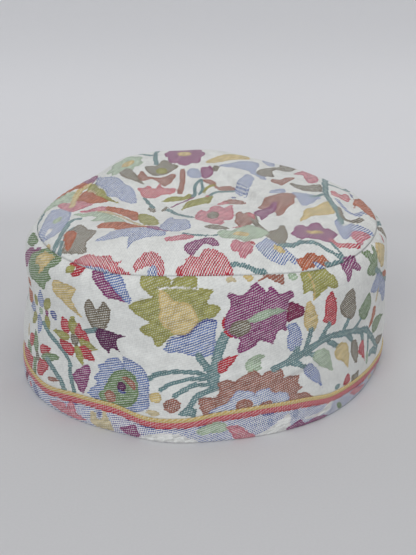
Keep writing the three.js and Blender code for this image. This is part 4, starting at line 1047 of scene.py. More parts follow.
def running_vine():
    """The motifs that fill the wall's far side: a swinging stem with flowers and leaves."""
    base, hearts = [], []
    start, end = VINE["start"], VINE["end"]
    angles = np.arange(start, end + 1, 3.0)

    def height_at(angle):
        waves = (angle - start) / VINE["wave"]
        return VINE["height"] + VINE["swing"] * math.sin(2 * math.pi * waves)

    base.append(stem("teal", 3.0, *[(a, height_at(a)) for a in angles]))
    flowers = ("purple", "red", "blue", "olive", "orange", "wine", "blue", "brick")
    hearts_of = ("mint", "yellow", "cream", "yellow", "yellow", "mint", "yellow", "sky")
    half = VINE["wave"] / 2
    bays = int((end - start) / half)
    for i in range(bays):
        angle = start + half * (i + 0.5)
        up = 1 if i % 2 == 0 else -1
        middle = (angle, height_at(angle) - up * VINE["flower_off"])
        size = 20 if up > 0 else 21
        base.append(rosette(flowers[i % len(flowers)], middle, size, 7 + i % 2, 0.2, 17 * i, 0.92))
        hearts.append(disc(hearts_of[i % len(hearts_of)], middle, 8, 7))
        base.append(stem("teal", 2.2, (angle, height_at(angle)), (angle + 1, middle[1] + up * 9)))
    leaves = ("olive", "yellow", "blue", "red", "mint", "taupe", "pink", "leaf", "purple", "orange")
    for i, angle in enumerate(np.arange(start + 3, end - 2, VINE["step"])):
        bay = int((angle - start) / half)
        up = 1 if bay % 2 == 0 else -1
        foot = (angle, height_at(angle) + up * 1.6)
        lean = 3.2 if i % 2 == 0 else -2.4
        length = 15.0 if i % 3 else 11.5
        tip = (angle + lean, foot[1] + up * length)
        base.append(blade(leaves[i % len(leaves)], 7.0, foot, tip, 1.2))
        small = leaves[(i + 4) % len(leaves)]
        bud = angle + 0.5 * VINE["step"]
        bud_height = VINE["high_buds"] if up > 0 else VINE["low_buds"]
        base.append(rosette(small, (bud, bud_height), 7.4, 5, 0.2, 30 * i, 0.8))
    return base, hearts


def border_run():
    """The motifs that fill the border past the part that faces forward."""
    motifs = []
    yarns = ("pink", "cream", "mint", "ivory", "wine", "navy", "leaf")
    angles = np.arange(BORDER_REPEAT["start"], BORDER_REPEAT["end"], BORDER_REPEAT["step"])
    for i, angle in enumerate(angles):
        top = float(border_top(angle))
        lean = 2.0 if i % 2 else -2.0
        foot, tip = (angle - lean, 0.6), (angle + lean, top - 0.6)
        motifs.append(blade(yarns[i % len(yarns)], 4.2, foot, tip, 0.6))
        if i % 2:
            motifs.append(disc(yarns[(i + 3) % len(yarns)], (angle + 4.2, 0.45 * top), 3.4, 2.6))
    return motifs


def stripe_edges():
    """Toothed edges of the red stripe over the border, and navy passes that show below it."""
    def along(yarn, width, start, end, below):
        angles = np.linspace(start, end, max(int((end - start) / 2.5), 2))
        return stem(yarn, width, *[(a, float(border_top(a)) - below) for a in angles])

    marks = [along("navy", 0.7, start, end, 0.8) for start, end in NAVY_MARKS]
    return marks + [along("red", 1.0, -184, 184, 0.1)]


def top_stitches():
    """A row of short pale stitches below the seam, where they cross the olive flower."""
    stitches = []
    for start in np.arange(TOP_STITCH["start"], TOP_STITCH["end"], TOP_STITCH["step"]):
        ends = [(angle, float(seam_height(angle)) - TOP_STITCH["below"])
                for angle in (start, start + TOP_STITCH["length"])]
        stitches.append(stem("ivory", TOP_STITCH["width"], *ends))
    return stitches


def linear(value):
    """A colour channel from 0 to 255 as the renderer's linear light."""
    share = value / 255
    return share / 12.92 if share <= 0.04045 else ((share + 0.055) / 1.055) ** 2.4


def colour_property(name, description, default):
    return bpy.props.FloatVectorProperty(
        name=name, description=description, subtype="COLOR", size=3, min=0, max=1, default=default)


def yarn_property(name):
    default = tuple(linear(v) for v in YARNS[name][:3])
    return colour_property(name.capitalize(), f"Colour of the {name} yarn", default)


class KaniYarnSettings(bpy.types.PropertyGroup):
    """The colours that the pattern is woven in."""

    __annotations__ = {name: yarn_property(name) for name in YARNS}


class KaniClothSettings(bpy.types.PropertyGroup):
    """Sizes of the cloth and of its weave."""

    thickness: bpy.props.FloatProperty(
        name="Cloth thickness", description="Thickness of the cloth with its facing",
        default=2.2 * MM, min=1 * MM, max=3 * MM, unit="LENGTH")
    rib_pitch: bpy.props.FloatProperty(
        name="Rib pitch", description="Distance from one weft rib to the next, in millimetres",
        default=1.1, min=0.5, max=3.0)
    rib_turn: bpy.props.FloatProperty(
        name="Rib turn", description="Slope of the weft ribs on the side of the cap",
        default=math.radians(19), subtype="ANGLE")
    crown_turn: bpy.props.FloatProperty(
        name="Crown rib turn", description="Slope of the weft ribs on the crown",
        default=math.radians(60), subtype="ANGLE")
    relief: bpy.props.FloatProperty(
        name="Rib relief", description="How far the ribs stand out",
        default=0.10 * MM, min=0, max=0.5 * MM, unit="LENGTH")
    red_stripe: colour_property(
        "Red stripe", "Colour of the red stripe over the border",
        tuple(linear(v) for v in (204, 44, 62)))
    yellow_stripe: colour_property(
        "Yellow stripe", "Colour of the yellow stripe over the border",
        tuple(linear(v) for v in (216, 180, 92)))


class KaniStageSettings(bpy.types.PropertyGroup):
    """The floor, the light and the camera's place."""

    distance: bpy.props.FloatProperty(
        name="Camera distance", description="Distance from the camera to the middle of the cap",
        default=600 * MM, min=200 * MM, max=2000 * MM, unit="LENGTH")
    elevation: bpy.props.FloatProperty(
        name="Camera elevation", description="Angle of the camera above the floor",
        default=math.radians(21.8), subtype="ANGLE")
    lens: bpy.props.FloatProperty(
        name="Lens", description="Focal length on a sensor 36 mm long, in millimetres",
        default=74.85, min=20, max=200)
    backdrop: colour_property(
        "Backdrop", "Colour of the backdrop behind the cap", (0.86, 0.86, 0.88))
    floor: colour_property("Floor", "Colour of the floor", (0.69, 0.69, 0.70))


def ring_mesh(name, rings, pole_first=False, pole_last=False):
    """A closed skin over rings of points. Without poles the last ring joins the first."""
    columns = len(rings[0])
    vertices = np.concatenate(rings) * MM
    row = np.arange(columns)
    following = (row + 1) % columns
    faces = []
    for i in range(len(rings) - 1):
        a, b = i * columns, (i + 1) * columns
        faces.append(np.stack([a + row, b + row, b + following, a + following], axis=1))
    last = (len(rings) - 1) * columns
    if not (pole_first or pole_last):
        faces.append(np.stack([last + row, row, following, last + following], axis=1))
    faces = np.concatenate(faces).tolist()
    extra = []
    if pole_first:
        extra.append(rings[0].mean(axis=0) * MM)
        centre = len(vertices)
        faces += [(centre, int(r), int(f)) for r, f in zip(row, following)]
    if pole_last:
        extra.append(rings[-1].mean(axis=0) * MM)
        centre = len(vertices) + len(extra) - 1
        faces += [(centre, int(last + f), int(last + r)) for r, f in zip(row, following)]
    if extra:
        vertices = np.concatenate((vertices, np.array(extra)))
    mesh = bpy.data.meshes.new(name)
    mesh.from_pydata(vertices, [], faces)
    mesh.polygons.foreach_set("use_smooth", np.ones(len(mesh.polygons), bool))
    mesh.update()
    return mesh


def write_attribute(mesh, name, kind, values):
    field = {"FLOAT": "value", "FLOAT_COLOR": "color", "FLOAT_VECTOR": "vector"}[kind]
    attribute = mesh.attributes.new(name, kind, "POINT")
    attribute.data.foreach_set(field, np.ascontiguousarray(values, dtype=np.float32).ravel())


def write_pattern(mesh, layers, places, outside, per_x, yarns):
    """Stores the woven pattern on the vertices of the outer face, and bare cloth on the rest."""
    total = len(mesh.vertices)
    for number, motifs in enumerate(layers, start=1):
        distance = np.full(total, EDGE_REACH)
        colour = np.tile(np.array(yarns["ivory"]), (total, 1))
        distance[outside], colour[outside] = lay_motifs(motifs, places[outside], per_x, yarns)
        write_attribute(mesh, f"motif_edge_{number}", "FLOAT", distance)
        write_attribute(mesh, f"motif_yarn_{number}", "FLOAT_COLOR", colour)
    spots = np.concatenate((places, np.zeros((total, 1))), axis=1)
    write_attribute(mesh, "cloth_place", "FLOAT_VECTOR", spots)


def cap_yarns(settings):
    """Each yarn's linear colour, with its paleness between ribs in the fourth channel."""
    return {name: (*getattr(settings, name), yarn.pale) for name, yarn in YARNS.items()}


def add_piece(name, mesh, materials, node):
    for material in materials:
        mesh.materials.append(material)
    piece = bpy.data.objects.new(name, mesh)
    bpy.context.scene.collection.objects.link(piece)
    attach(piece, "root")
    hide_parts(node)


class Nodes:
    """Adds nodes to a tree and links them by plain values."""

    def __init__(self, tree):
        self.tree = tree

    def new(self, kind, **settings):
        node = self.tree.nodes.new(kind)
        for name, value in settings.items():
            setattr(node, name, value)
        return node

    def feed(self, socket, value):
        if isinstance(value, bpy.types.NodeSocket):
            self.tree.links.new(value, socket)
        elif value is not None:
            socket.default_value = value

    def math(self, operation, a, b=None, c=None, clamp=False):
        node = self.new("ShaderNodeMath", operation=operation, use_clamp=clamp)
        for socket, value in zip(node.inputs, (a, b, c)):
            self.feed(socket, value)
        return node.outputs[0]

    def mix(self, factor, a, b, blend="MIX"):
        node = self.new("ShaderNodeMix", data_type="RGBA", blend_type=blend)
        self.feed(node.inputs["Factor"], factor)
        self.feed(node.inputs[6], a)
        self.feed(node.inputs[7], b)
        return node.outputs[2]

    def ramp(self, value, low, high, to_low=0.0, to_high=1.0, smooth=True):
        kind = "SMOOTHSTEP" if smooth else "LINEAR"
        node = self.new("ShaderNodeMapRange", interpolation_type=kind)
        for socket, v in zip(node.inputs, (value, low, high, to_low, to_high)):
            self.feed(socket, v)
        return node.outputs[0]

    def noise(self, place, scale, detail=2.0, stretch=None):
        if stretch:
            mapping = self.new("ShaderNodeMapping")
            self.feed(mapping.inputs["Vector"], place)
            mapping.inputs["Scale"].default_value = stretch
            place = mapping.outputs[0]
        node = self.new("ShaderNodeTexNoise")
        self.feed(node.inputs["Vector"], place)
        node.inputs["Scale"].default_value = scale
        node.inputs["Detail"].default_value = detail
        return node.outputs["Fac"]


def new_group(name, inputs, outputs):
    tree = bpy.data.node_groups.new(name, "ShaderNodeTree")
    for label, kind, default in inputs:
        socket = tree.interface.new_socket(label, in_out="INPUT", socket_type=kind)
        if default is not None:
            socket.default_value = default
    for label, kind in outputs:
        tree.interface.new_socket(label, in_out="OUTPUT", socket_type=kind)
    nodes = Nodes(tree)
    return tree, nodes, nodes.new("NodeGroupInput"), nodes.new("NodeGroupOutput")


def twill_group():
    """Ribs of weft yarn: their profile, the toothed ends that they give a motif, and flecks."""
    tree, n, given, put = new_group(
        "Twill Ribs",
        [("Place", "NodeSocketVector", None), ("Pitch", "NodeSocketFloat", 0.95),
         ("Turn", "NodeSocketFloat", 0.33)],
        [("Rib", "NodeSocketFloat"), ("Tooth", "NodeSocketFloat"), ("Fleck", "NodeSocketFloat"),
         ("Streak", "NodeSocketFloat"), ("Pass", "NodeSocketFloat")])
    turned = n.new("ShaderNodeVectorRotate", rotation_type="Z_AXIS", invert=True)
    n.feed(turned.inputs["Vector"], given.outputs["Place"])
    n.feed(turned.inputs["Angle"], given.outputs["Turn"])
    wander = n.noise(turned.outputs[0], 0.09, 1.0)
    split = n.new("ShaderNodeSeparateXYZ")
    n.feed(split.inputs[0], turned.outputs[0])
    across = n.math("ADD", split.outputs["Y"], wander)
    count = n.math("DIVIDE", across, given.outputs["Pitch"])
    weft = n.math("SINE", n.math("MULTIPLY", count, 2 * math.pi))
    slant = n.math("MULTIPLY", across, -0.5)
    slant = n.math("ADD", n.math("MULTIPLY", split.outputs["X"], 0.86), slant)
    slant = n.math("DIVIDE", slant, given.outputs["Pitch"])
    warp = n.math("SINE", n.math("MULTIPLY", slant, 2 * math.pi))
    fleck = n.noise(turned.outputs[0], 1.0, 1.0, FLECK_STRETCH)
    streak = n.noise(turned.outputs[0], 1.0, 3.0, STREAK_STRETCH)
    mesh = n.ramp(n.noise(turned.outputs[0], 0.03, 1.0), 0.38, 0.62, 0.05, 0.26)
    rib = n.math("MULTIPLY_ADD", weft, 0.36, 0.5)
    rib = n.math("ADD", rib, n.math("MULTIPLY", warp, mesh))
    rib = n.math("ADD", rib, n.math("MULTIPLY", n.math("SUBTRACT", fleck, 0.5), 1.5), clamp=True)
    # Each short length of a rib has a value of its own, which sets where the rib ends at a motif's
    # edge and how dark its yarn is
    pass_of = n.new("ShaderNodeTexWhiteNoise", noise_dimensions="2D")
    steps = n.new("ShaderNodeCombineXYZ")
    n.feed(steps.inputs["X"], n.math("FLOOR", n.math("ADD", count, 0.25)))
    n.feed(steps.inputs["Y"], n.math("FLOOR", n.math("MULTIPLY", split.outputs["X"], 0.22)))
    n.feed(pass_of.inputs["Vector"], steps.outputs[0])
    ends = n.math("MULTIPLY", n.math("SUBTRACT", pass_of.outputs["Value"], 0.5), 0.7)
    n.feed(put.inputs["Tooth"], n.math("ADD", ends, n.math("MULTIPLY", weft, 0.16)))
    n.feed(put.inputs["Rib"], rib)
    n.feed(put.inputs["Fleck"], n.ramp(fleck, 0.32, 0.68))
    n.feed(put.inputs["Streak"], n.ramp(streak, 0.3, 0.7))
    weight = n.math("MULTIPLY_ADD", fleck, 0.6, n.math("MULTIPLY", pass_of.outputs["Value"], 0.4))
    n.feed(put.inputs["Pass"], n.math("MULTIPLY_ADD", n.ramp(streak, 0.36, 0.64), 0.38, weight))
    return tree


def motif_group():
    """Lays one layer of woven motifs over the cloth's colour."""
    tree, n, given, put = new_group(
        "Woven Motifs",
        [("Ground", "NodeSocketColor", None), ("Edge", "NodeSocketFloat", EDGE_REACH),
         ("Yarn", "NodeSocketColor", None), ("Paleness", "NodeSocketFloat", 0.3),
         ("Pale", "NodeSocketColor", None), ("Rib", "NodeSocketFloat", 0.5),
         ("Tooth", "NodeSocketFloat", 0.0), ("Streak", "NodeSocketFloat", 0.5),
         ("Pass", "NodeSocketFloat", 0.5), ("Depth", "NodeSocketFloat", 0.5)],
        [("Color", "NodeSocketColor"), ("Mask", "NodeSocketFloat")])
    edge = n.math("SUBTRACT", given.outputs["Edge"], given.outputs["Tooth"])
    mask = n.ramp(edge, 0.14, -0.14)
    patchy = n.math("MULTIPLY_ADD", given.outputs["Streak"], 0.7, 0.3)
    rim = n.math("MULTIPLY", n.ramp(edge, -1.3, -0.1), patchy)
    # Pale ground shows in the gaps between ribs, more of it in a paler yarn and less at the rim
    gap = n.math("SUBTRACT", 1.0, given.outputs["Rib"])
    gap = n.math("MULTIPLY", gap, n.math("MULTIPLY_ADD", rim, -0.4, 1.0))
    level = n.math("MULTIPLY_ADD", given.outputs["Paleness"], -1.25, 1.08)
    level = n.math("MULTIPLY_ADD", given.outputs["Streak"], -0.16, level)
    strength = n.math("MULTIPLY_ADD", given.outputs["Paleness"], 1.3, 0.50, clamp=True)
    low, high = n.math("SUBTRACT", level, 0.27), n.math("ADD", level, 0.27)
    pale = n.ramp(gap, low, high, 0.0, strength)
    deep = n.math("MULTIPLY", rim, given.outputs["Depth"])
    darker = n.mix(1.0, given.outputs["Yarn"], OUTLINE_TINT, "MULTIPLY")
    yarn = n.mix(deep, given.outputs["Yarn"], darker)
    shade = n.ramp(given.outputs["Pass"], 0.25, 1.15, 0.68, 1.30, smooth=False)
    yarn = n.mix(1.0, yarn, shade, "MULTIPLY")
    woven = n.mix(pale, yarn, given.outputs["Pale"])
    n.feed(put.inputs["Color"], n.mix(mask, given.outputs["Ground"], woven))
    n.feed(put.inputs["Mask"], mask)
    return tree


def shared_group(name, build):
    return bpy.data.node_groups.get(name) or build()


def tinted(colour, share=1):
    """A share of a colour, as a shader socket takes it."""
    return (*(share * c for c in colour), 1)


def cloth_material(name, ground, turn, fineness, layers, paleness, cloth):
    """Wool cloth with its woven motifs, read from the mesh."""
    material = bpy.data.materials.new(name)
    material.use_nodes = True
    n = Nodes(material.node_tree)
    shader = material.node_tree.nodes["Principled BSDF"]
    shader.inputs["Roughness"].default_value = 0.92
    shader.inputs["Sheen Weight"].default_value = 0.18
    shader.inputs["Sheen Roughness"].default_value = 0.5
    shader.inputs["Specular IOR Level"].default_value = 0.2
    place = n.new("ShaderNodeAttribute", attribute_name="cloth_place")
    ribs = n.new("ShaderNodeGroup", node_tree=shared_group("Twill Ribs", twill_group))
    n.feed(ribs.inputs["Place"], place.outputs["Vector"])
    ribs.inputs["Pitch"].default_value = fineness * cloth.rib_pitch
    ribs.inputs["Turn"].default_value = turn
    rib = ribs.outputs["Rib"]
    faint = n.math("MULTIPLY_ADD", ribs.outputs["Fleck"], 0.20, 0.10)
    faint = n.math("MULTIPLY", n.math("SUBTRACT", 1.0, rib), faint)
    colour = n.mix(faint, tinted(ground), tinted(ground, GROUND_SHADE))
    mottle = n.ramp(n.noise(place.outputs["Vector"], 0.13, 3.0), 0.34, 0.66, 0.93, 1.03)
    grain = n.ramp(n.noise(place.outputs["Vector"], 0.8, 2.0), 0.30, 0.70, 0.94, 1.04)
    colour = n.mix(1.0, colour, n.math("MULTIPLY", mottle, grain), "MULTIPLY")
    specks = n.noise(place.outputs["Vector"], 1.7, 1.0)
    colour = n.mix(n.ramp(specks, 0.60, 0.78, 0.0, 0.30), colour, SPECK_COLOUR)
    masks = None
    for number in range(1, layers + 1):
        edge = n.new("ShaderNodeAttribute", attribute_name=f"motif_edge_{number}")
        yarn = n.new("ShaderNodeAttribute", attribute_name=f"motif_yarn_{number}")
        group = n.new("ShaderNodeGroup", node_tree=shared_group("Woven Motifs", motif_group))
        n.feed(group.inputs["Ground"], colour)
        n.feed(group.inputs["Edge"], edge.outputs["Fac"])
        n.feed(group.inputs["Yarn"], yarn.outputs["Color"])
        n.feed(group.inputs["Paleness"], n.math("MULTIPLY", yarn.outputs["Alpha"], paleness))
        group.inputs["Pale"].default_value = tinted(ground)
        for socket in ("Rib", "Tooth", "Streak", "Pass"):
            n.feed(group.inputs[socket], ribs.outputs[socket])
        group.inputs["Depth"].default_value = 0.32
        colour = group.outputs["Color"]
        mask = group.outputs["Mask"]
        masks = mask if masks is None else n.math("MAXIMUM", masks, mask)
    n.feed(shader.inputs["Base Color"], colour)
    lift = n.math("MULTIPLY_ADD", masks, 0.75, 0.25)
    bump = n.new("ShaderNodeBump")
    bump.inputs["Strength"].default_value = 1.0
    bump.inputs["Distance"].default_value = cloth.relief
    n.feed(bump.inputs["Height"], n.math("MULTIPLY", rib, lift))
    n.feed(shader.inputs["Normal"], bump.outputs["Normal"])
    return material


def stripe_material(name, colour, stripe, cloth):
    """A narrow stripe of thick slanted yarn, flecked with paler yarn."""
    material = bpy.data.materials.new(name)
    material.use_nodes = True
    n = Nodes(material.node_tree)
    shader = material.node_tree.nodes["Principled BSDF"]
    shader.inputs["Roughness"].default_value = 0.9
    shader.inputs["Sheen Weight"].default_value = 0.18
    shader.inputs["Specular IOR Level"].default_value = 0.2
    place = n.new("ShaderNodeAttribute", attribute_name="cloth_place")
    ribs = n.new("ShaderNodeGroup", node_tree=shared_group("Twill Ribs", twill_group))
    n.feed(ribs.inputs["Place"], place.outputs["Vector"])
    ribs.inputs["Pitch"].default_value = 1.1 * cloth.rib_pitch
    ribs.inputs["Turn"].default_value = math.radians(30)
    gap = n.math("SUBTRACT", 1.0, ribs.outputs["Rib"])
    streak = n.math("MULTIPLY", ribs.outputs["Streak"], 0.2)
    shade = n.mix(streak, tinted(colour), tinted(stripe.dark))
    flecked = n.math("MULTIPLY_ADD", ribs.outputs["Fleck"], 1.1, 0.3)
    light = n.math("MULTIPLY", gap, flecked, clamp=True)
    n.feed(shader.inputs["Base Color"], n.mix(light, shade, tinted(stripe.pale)))
    bump = n.new("ShaderNodeBump")
    bump.inputs["Distance"].default_value = 2 * cloth.relief
    n.feed(bump.inputs["Height"], ribs.outputs["Rib"])
    n.feed(shader.inputs["Normal"], bump.outputs["Normal"])
    return material


def column_angles(columns):
    return np.arange(columns) * 360.0 / columns - 180.0


class KANI_OT_crown(bpy.types.Operator):
    """Build the crown, a domed sheet with its hollow, ridges and crease"""

    bl_idname = "kani.crown"
    bl_label = "Build Crown"

    def execute(self, context):
        cloth = context.scene.kani_cloth
        yarns = cap_yarns(context.scene.kani_yarns)
        angles = column_angles(CROWN_COLUMNS)
        thick = cloth.thickness / MM
        rings, places = [], []
        for share in np.arange(1, CROWN_ROWS + 1) / CROWN_ROWS:
            ring, x, y = crown_point(angles, np.full_like(angles, share))
            rings.append(ring)
            places.append(np.stack([x, y], axis=1))
        hem_reach = np.full_like(angles, 1 - CROWN_HEM / RIM_RADIUS)
        hem = crown_point(angles, hem_reach, relief=False)[0]
        hem[:, 2] = seam_height(angles) + SEAT_GAP
        rings.append(hem)
        for share in np.linspace(*CROWN_INSIDE, INSIDE_ROWS):
            ring = crown_point(angles, np.full_like(angles, share), relief=False)[0]
            rings.append(ring - np.array([0, 0, thick]))
        mesh = ring_mesh("crown_cloth", rings, pole_first=True, pole_last=True)
        # The last two vertices are the middles of the outer and the inner face
        middles = np.array([(lean_shift(1.0), 0), (0, 0)], float)
        inner = [ring[:, :2] for ring in rings[CROWN_ROWS:]]
        spots = np.concatenate([*places, *inner, middles])
        outside = np.zeros(len(spots), bool)
        outside[:CROWN_ROWS * CROWN_COLUMNS] = True
        outside[-2] = True
        layers = (CROWN_BASE + CROWN_FAR, CROWN_INNER + CROWN_FAR_HEARTS)
        write_pattern(mesh, layers, spots, outside, 1.0, yarns)
        material = cloth_material("crown_weave", yarns["ivory"][:3], cloth.crown_turn,
                                  fineness=0.92, layers=len(layers), paleness=1.2, cloth=cloth)
        add_piece("crown_cloth", mesh, [material], "crown_panel")
        return {"FINISHED"}


class KANI_OT_wall(bpy.types.Operator):
    """Build the upright side of the cap between its seam and its border"""

    bl_idname = "kani.wall"
    bl_label = "Build Side"

    def execute(self, context):
        cloth = context.scene.kani_cloth
        yarns = cap_yarns(context.scene.kani_yarns)
        angles = column_angles(WALL_COLUMNS)
        foot = border_top(angles) + RED_STRIPE_HEIGHT + YELLOW_STRIPE_HEIGHT + SEAT_GAP
        seam = seam_height(angles)
        thick = cloth.thickness / MM
        rings, places = [], []
        for share in np.linspace(1, 0, WALL_ROWS):
            height = foot + share * (seam - foot)
            rings.append(wall_point(angles, height, wall_relief(angles, height)))
            places.append(np.stack([angles * WALL_DEGREE, height], axis=1))
        for share in np.linspace(0, 1, INSIDE_ROWS):
            height = foot + share * (seam - foot)
            rings.append(wall_point(angles, height, -thick))
            places.append(np.stack([angles * WALL_DEGREE, height], axis=1))
        mesh = ring_mesh("side_cloth", rings)
        spots = np.concatenate(places)
        outside = np.zeros(len(spots), bool)
        outside[:WALL_ROWS * WALL_COLUMNS] = True
        vine, hearts = running_vine()
        base = carry_round(WALL_BASE + tuple(vine))
        inner = carry_round(WALL_INNER + tuple(hearts))
        layers = (base, inner, WALL_DETAIL + tuple(top_stitches()))
        write_pattern(mesh, layers, spots, outside, WALL_DEGREE, yarns)
        material = cloth_material("side_weave", yarns["ivory"][:3], cloth.rib_turn,
                                  fineness=0.95, layers=len(layers), paleness=1.0, cloth=cloth)
        add_piece("side_cloth", mesh, [material], "side_wall")
        return {"FINISHED"}


class KANI_OT_border(bpy.types.Operator):
    """Build the border strip with its red and yellow stripes and the folded hem"""

    bl_idname = "kani.border"
    bl_label = "Build Border"

    def execute(self, context):
        cloth = context.scene.kani_cloth
        yarns = cap_yarns(context.scene.kani_yarns)
        angles = column_angles(WALL_COLUMNS)
        top = border_top(angles)
        thick = cloth.thickness / MM
        weave_slot, red_slot, yellow_slot = range(3)
        heights, outwards, slots = [], [], []

        def add_row(height, outward, slot=weave_slot):
            heights.append(height)
            outwards.append(outward)
            slots.append(slot)

        stripes = ((RED_STRIPE_HEIGHT, YELLOW_STRIPE_HEIGHT, yellow_slot),
                   (0, RED_STRIPE_HEIGHT, red_slot))
        for below, tall, slot in stripes:
            for share in np.linspace(1, 0, STRIPE_ROWS):
                bow = max(1 - (2 * share - 1) ** 4, 0) ** 0.5
                add_row(top + below + share * tall, BAND_PROUD + STRIPE_PROUD * bow, slot)
        for share in np.linspace(1, 0, BORDER_ROWS)[1:]:
            height = HEM_ROUND + share * (top - HEM_ROUND)
            ripple = BAND_RIPPLE * cloth_ripple(angles * WALL_DEGREE, height)
            add_row(height, BAND_PROUD + ripple * smooth_step(height / 4.0))
        for turn in np.radians((30, 60, 90)):
            add_row(HEM_ROUND * (1 - math.sin(turn)) + 0 * angles,
                    BAND_PROUD - HEM_ROUND * (1 - math.cos(turn)))
        outer = len(heights)
        add_row(0 * angles, HEM_ROUND / 2 - thick)
        inside_height = top + RED_STRIPE_HEIGHT + YELLOW_STRIPE_HEIGHT - HEM_ROUND
        for share in np.linspace(0, 1, HEM_INSIDE_ROWS):
            add_row(HEM_ROUND + share * inside_height, -thick)
        rings = [wall_point(angles, height, out) for height, out in zip(heights, outwards)]
        mesh = ring_mesh("border_strip", rings)
        # Faces between two rings take a stripe's yarn where both rings are in that stripe, and the
        # two rows of faces beside the stripes' shared edge and top edge are given theirs
        face_slots = [a if a == b else weave_slot for a, b in zip(slots, slots[1:] + slots[:1])]
        face_slots[STRIPE_ROWS - 1] = red_slot
        face_slots[-1] = yellow_slot
        face_slots = np.repeat(face_slots, WALL_COLUMNS).astype(np.int32)
        mesh.polygons.foreach_set("material_index", face_slots)
        spots = np.concatenate([np.stack([angles * WALL_DEGREE, height], axis=1)
                                for height in heights])
        outside = np.zeros(len(spots), bool)
        outside[:outer * WALL_COLUMNS] = True
        motifs = tuple(stripe_edges()) + carry_round(BORDER_BASE + tuple(border_run()))
        layers = (BORDER_GROUND, motifs)
        write_pattern(mesh, layers, spots, outside, WALL_DEGREE, yarns)
        weave = cloth_material("border_weave", yarns["ivory"][:3], cloth.rib_turn,
                               fineness=0.9, layers=len(layers), paleness=1.1, cloth=cloth)
        red = stripe_material("red_stripe", cloth.red_stripe, RED_STRIPE, cloth)
        yellow = stripe_material("yellow_stripe", cloth.yellow_stripe, YELLOW_STRIPE, cloth)
        add_piece("border_strip", mesh, [weave, red, yellow], "border_band")
        return {"FINISHED"}


def backdrop_material(stage):
    """Plain cloth for the sheet: the floor, a paler strip behind the cap, and the backdrop. The
    paler strip is painted light, and the backdrop's darker upper part is painted shade.
    """
    material = bpy.data.materials.new("backdrop_cloth")
    material.use_nodes = True
    n = Nodes(material.node_tree)
    shader = material.node_tree.nodes["Principled BSDF"]
    shader.inputs["Roughness"].default_value = 0.95
    where = n.new("ShaderNodeTexCoord").outputs["Object"]
    grain = n.noise(where, 900.0, 2.0)
    cloth = n.mix(grain, tinted(stage.floor, 0.96), tinted(stage.floor, 1.02))
    spot = n.new("ShaderNodeSeparateXYZ")
    n.feed(spot.inputs[0], where)
    # Painted light: the floor from just behind the cap to the bend is made paler
    behind = n.ramp(spot.outputs["Y"], 0.08, 0.20)
    cloth = n.mix(behind, cloth, tinted(stage.floor, 1.09))
    # Painted shade: the backdrop is made darker higher up
    high = n.ramp(spot.outputs["Z"], 0.05, 0.12)
    backdrop = n.mix(high, tinted(stage.backdrop), tinted(stage.backdrop, 0.90))
    rising = n.ramp(spot.outputs["Y"], 0.21, 0.285)
    n.feed(shader.inputs["Base Color"], n.mix(rising, cloth, backdrop))
    return material


def lay_sheet(stage):
    """The sheet that is both floor and backdrop, with a soft bend between them."""
    back, bend = SHEET["back"], SHEET["bend"]
    section = [(SHEET["front"], 0.0), (back - bend, 0.0)]
    for turn in np.linspace(0, math.pi / 2, 12)[1:]:
        section.append((back - bend + bend * math.sin(turn), bend * (1 - math.cos(turn))))
    section.append((back, SHEET["tall"]))
    vertices = [(side * SHEET["width"] / 2, y, z) for y, z in section for side in (-1, 1)]
    faces = [(2 * i, 2 * i + 1, 2 * i + 3, 2 * i + 2) for i in range(len(section) - 1)]
    mesh = bpy.data.meshes.new("floor")
    mesh.from_pydata(vertices, [], faces)
    mesh.polygons.foreach_set("use_smooth", [True] * len(faces))
    mesh.materials.append(backdrop_material(stage))
    sheet = bpy.data.objects.new("floor", mesh)
    bpy.context.scene.collection.objects.link(sheet)


def aim_camera(stage):
    scene = bpy.context.scene
    lift = stage.elevation
    away = stage.distance * np.array([0, -math.cos(lift), math.sin(lift)])
    camera = bpy.data.cameras.new("photo_camera")
    camera.lens = stage.lens
    camera.sensor_width = 36
    camera.sensor_fit = "AUTO"
    camera.clip_start = 0.01
    holder = bpy.data.objects.new("photo_camera", camera)
    holder.location = np.array(CAMERA_TARGET) + away
    holder.rotation_euler = (math.pi / 2 - lift, 0, 0)
    scene.collection.objects.link(holder)
    scene.camera = holder


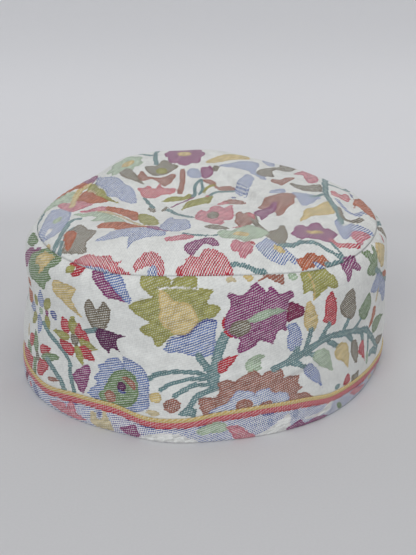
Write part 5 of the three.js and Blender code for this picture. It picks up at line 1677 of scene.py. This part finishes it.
def hang_lamp(lamp):
    """A round soft lamp that faces the cap."""
    light = bpy.data.lights.new(lamp.name, "AREA")
    light.shape = "DISK"
    light.size = lamp.size
    light.energy = lamp.power
    light.color = lamp.colour
    holder = bpy.data.objects.new(lamp.name, light)
    holder.location = lamp.place
    x, y, z = np.array(LAMP_TARGET) - np.array(lamp.place)
    holder.rotation_euler = (math.atan2(math.hypot(x, y), -z), 0, math.atan2(y, x) - math.pi / 2)
    bpy.context.scene.collection.objects.link(holder)


class KANI_OT_stage(bpy.types.Operator):
    """Lay the floor and backdrop, set soft lights and aim the camera"""

    bl_idname = "kani.stage"
    bl_label = "Set Stage"

    def execute(self, context):
        scene = context.scene
        scene.view_settings.view_transform = "Standard"
        aim_camera(scene.kani_stage)
        lay_sheet(scene.kani_stage)
        world = bpy.data.worlds.new("soft_room")
        world.use_nodes = True
        room = world.node_tree.nodes["Background"]
        room.inputs["Color"].default_value = ROOM_COLOUR
        room.inputs["Strength"].default_value = ROOM_LIGHT
        scene.world = world
        for lamp in LAMPS:
            hang_lamp(lamp)
        return {"FINISHED"}


class KANI_PT_panel(bpy.types.Panel):
    """Lists the cap's pieces in the sidebar"""

    bl_idname = "KANI_PT_panel"
    bl_label = "Kani Cap"
    bl_space_type = "VIEW_3D"
    bl_region_type = "UI"
    bl_category = "Kani Cap"

    def draw(self, context):
        scene = context.scene
        for operator in OPERATORS:
            self.layout.operator(operator.bl_idname)
        for label, settings in (("Cloth", scene.kani_cloth), ("Yarns", scene.kani_yarns),
                                ("Stage", scene.kani_stage)):
            box = self.layout.box()
            box.label(text=label)
            for name in settings.__annotations__:
                box.prop(settings, name)


OPERATORS = (KANI_OT_stage, KANI_OT_crown, KANI_OT_wall, KANI_OT_border)
SETTINGS = {
    "kani_cloth": KaniClothSettings,
    "kani_yarns": KaniYarnSettings,
    "kani_stage": KaniStageSettings,
}
CLASSES = (*SETTINGS.values(), *OPERATORS, KANI_PT_panel)


def register():
    for cls in CLASSES:
        bpy.utils.register_class(cls)
    for name, group in SETTINGS.items():
        setattr(bpy.types.Scene, name, bpy.props.PointerProperty(type=group))


def unregister():
    for name in SETTINGS:
        delattr(bpy.types.Scene, name)
    for cls in reversed(CLASSES):
        bpy.utils.unregister_class(cls)


def main():
    register()
    bpy.ops.kani.stage()
    bpy.ops.kani.crown()
    bpy.ops.kani.wall()
    bpy.ops.kani.border()


if __name__ == "__main__":
    main()
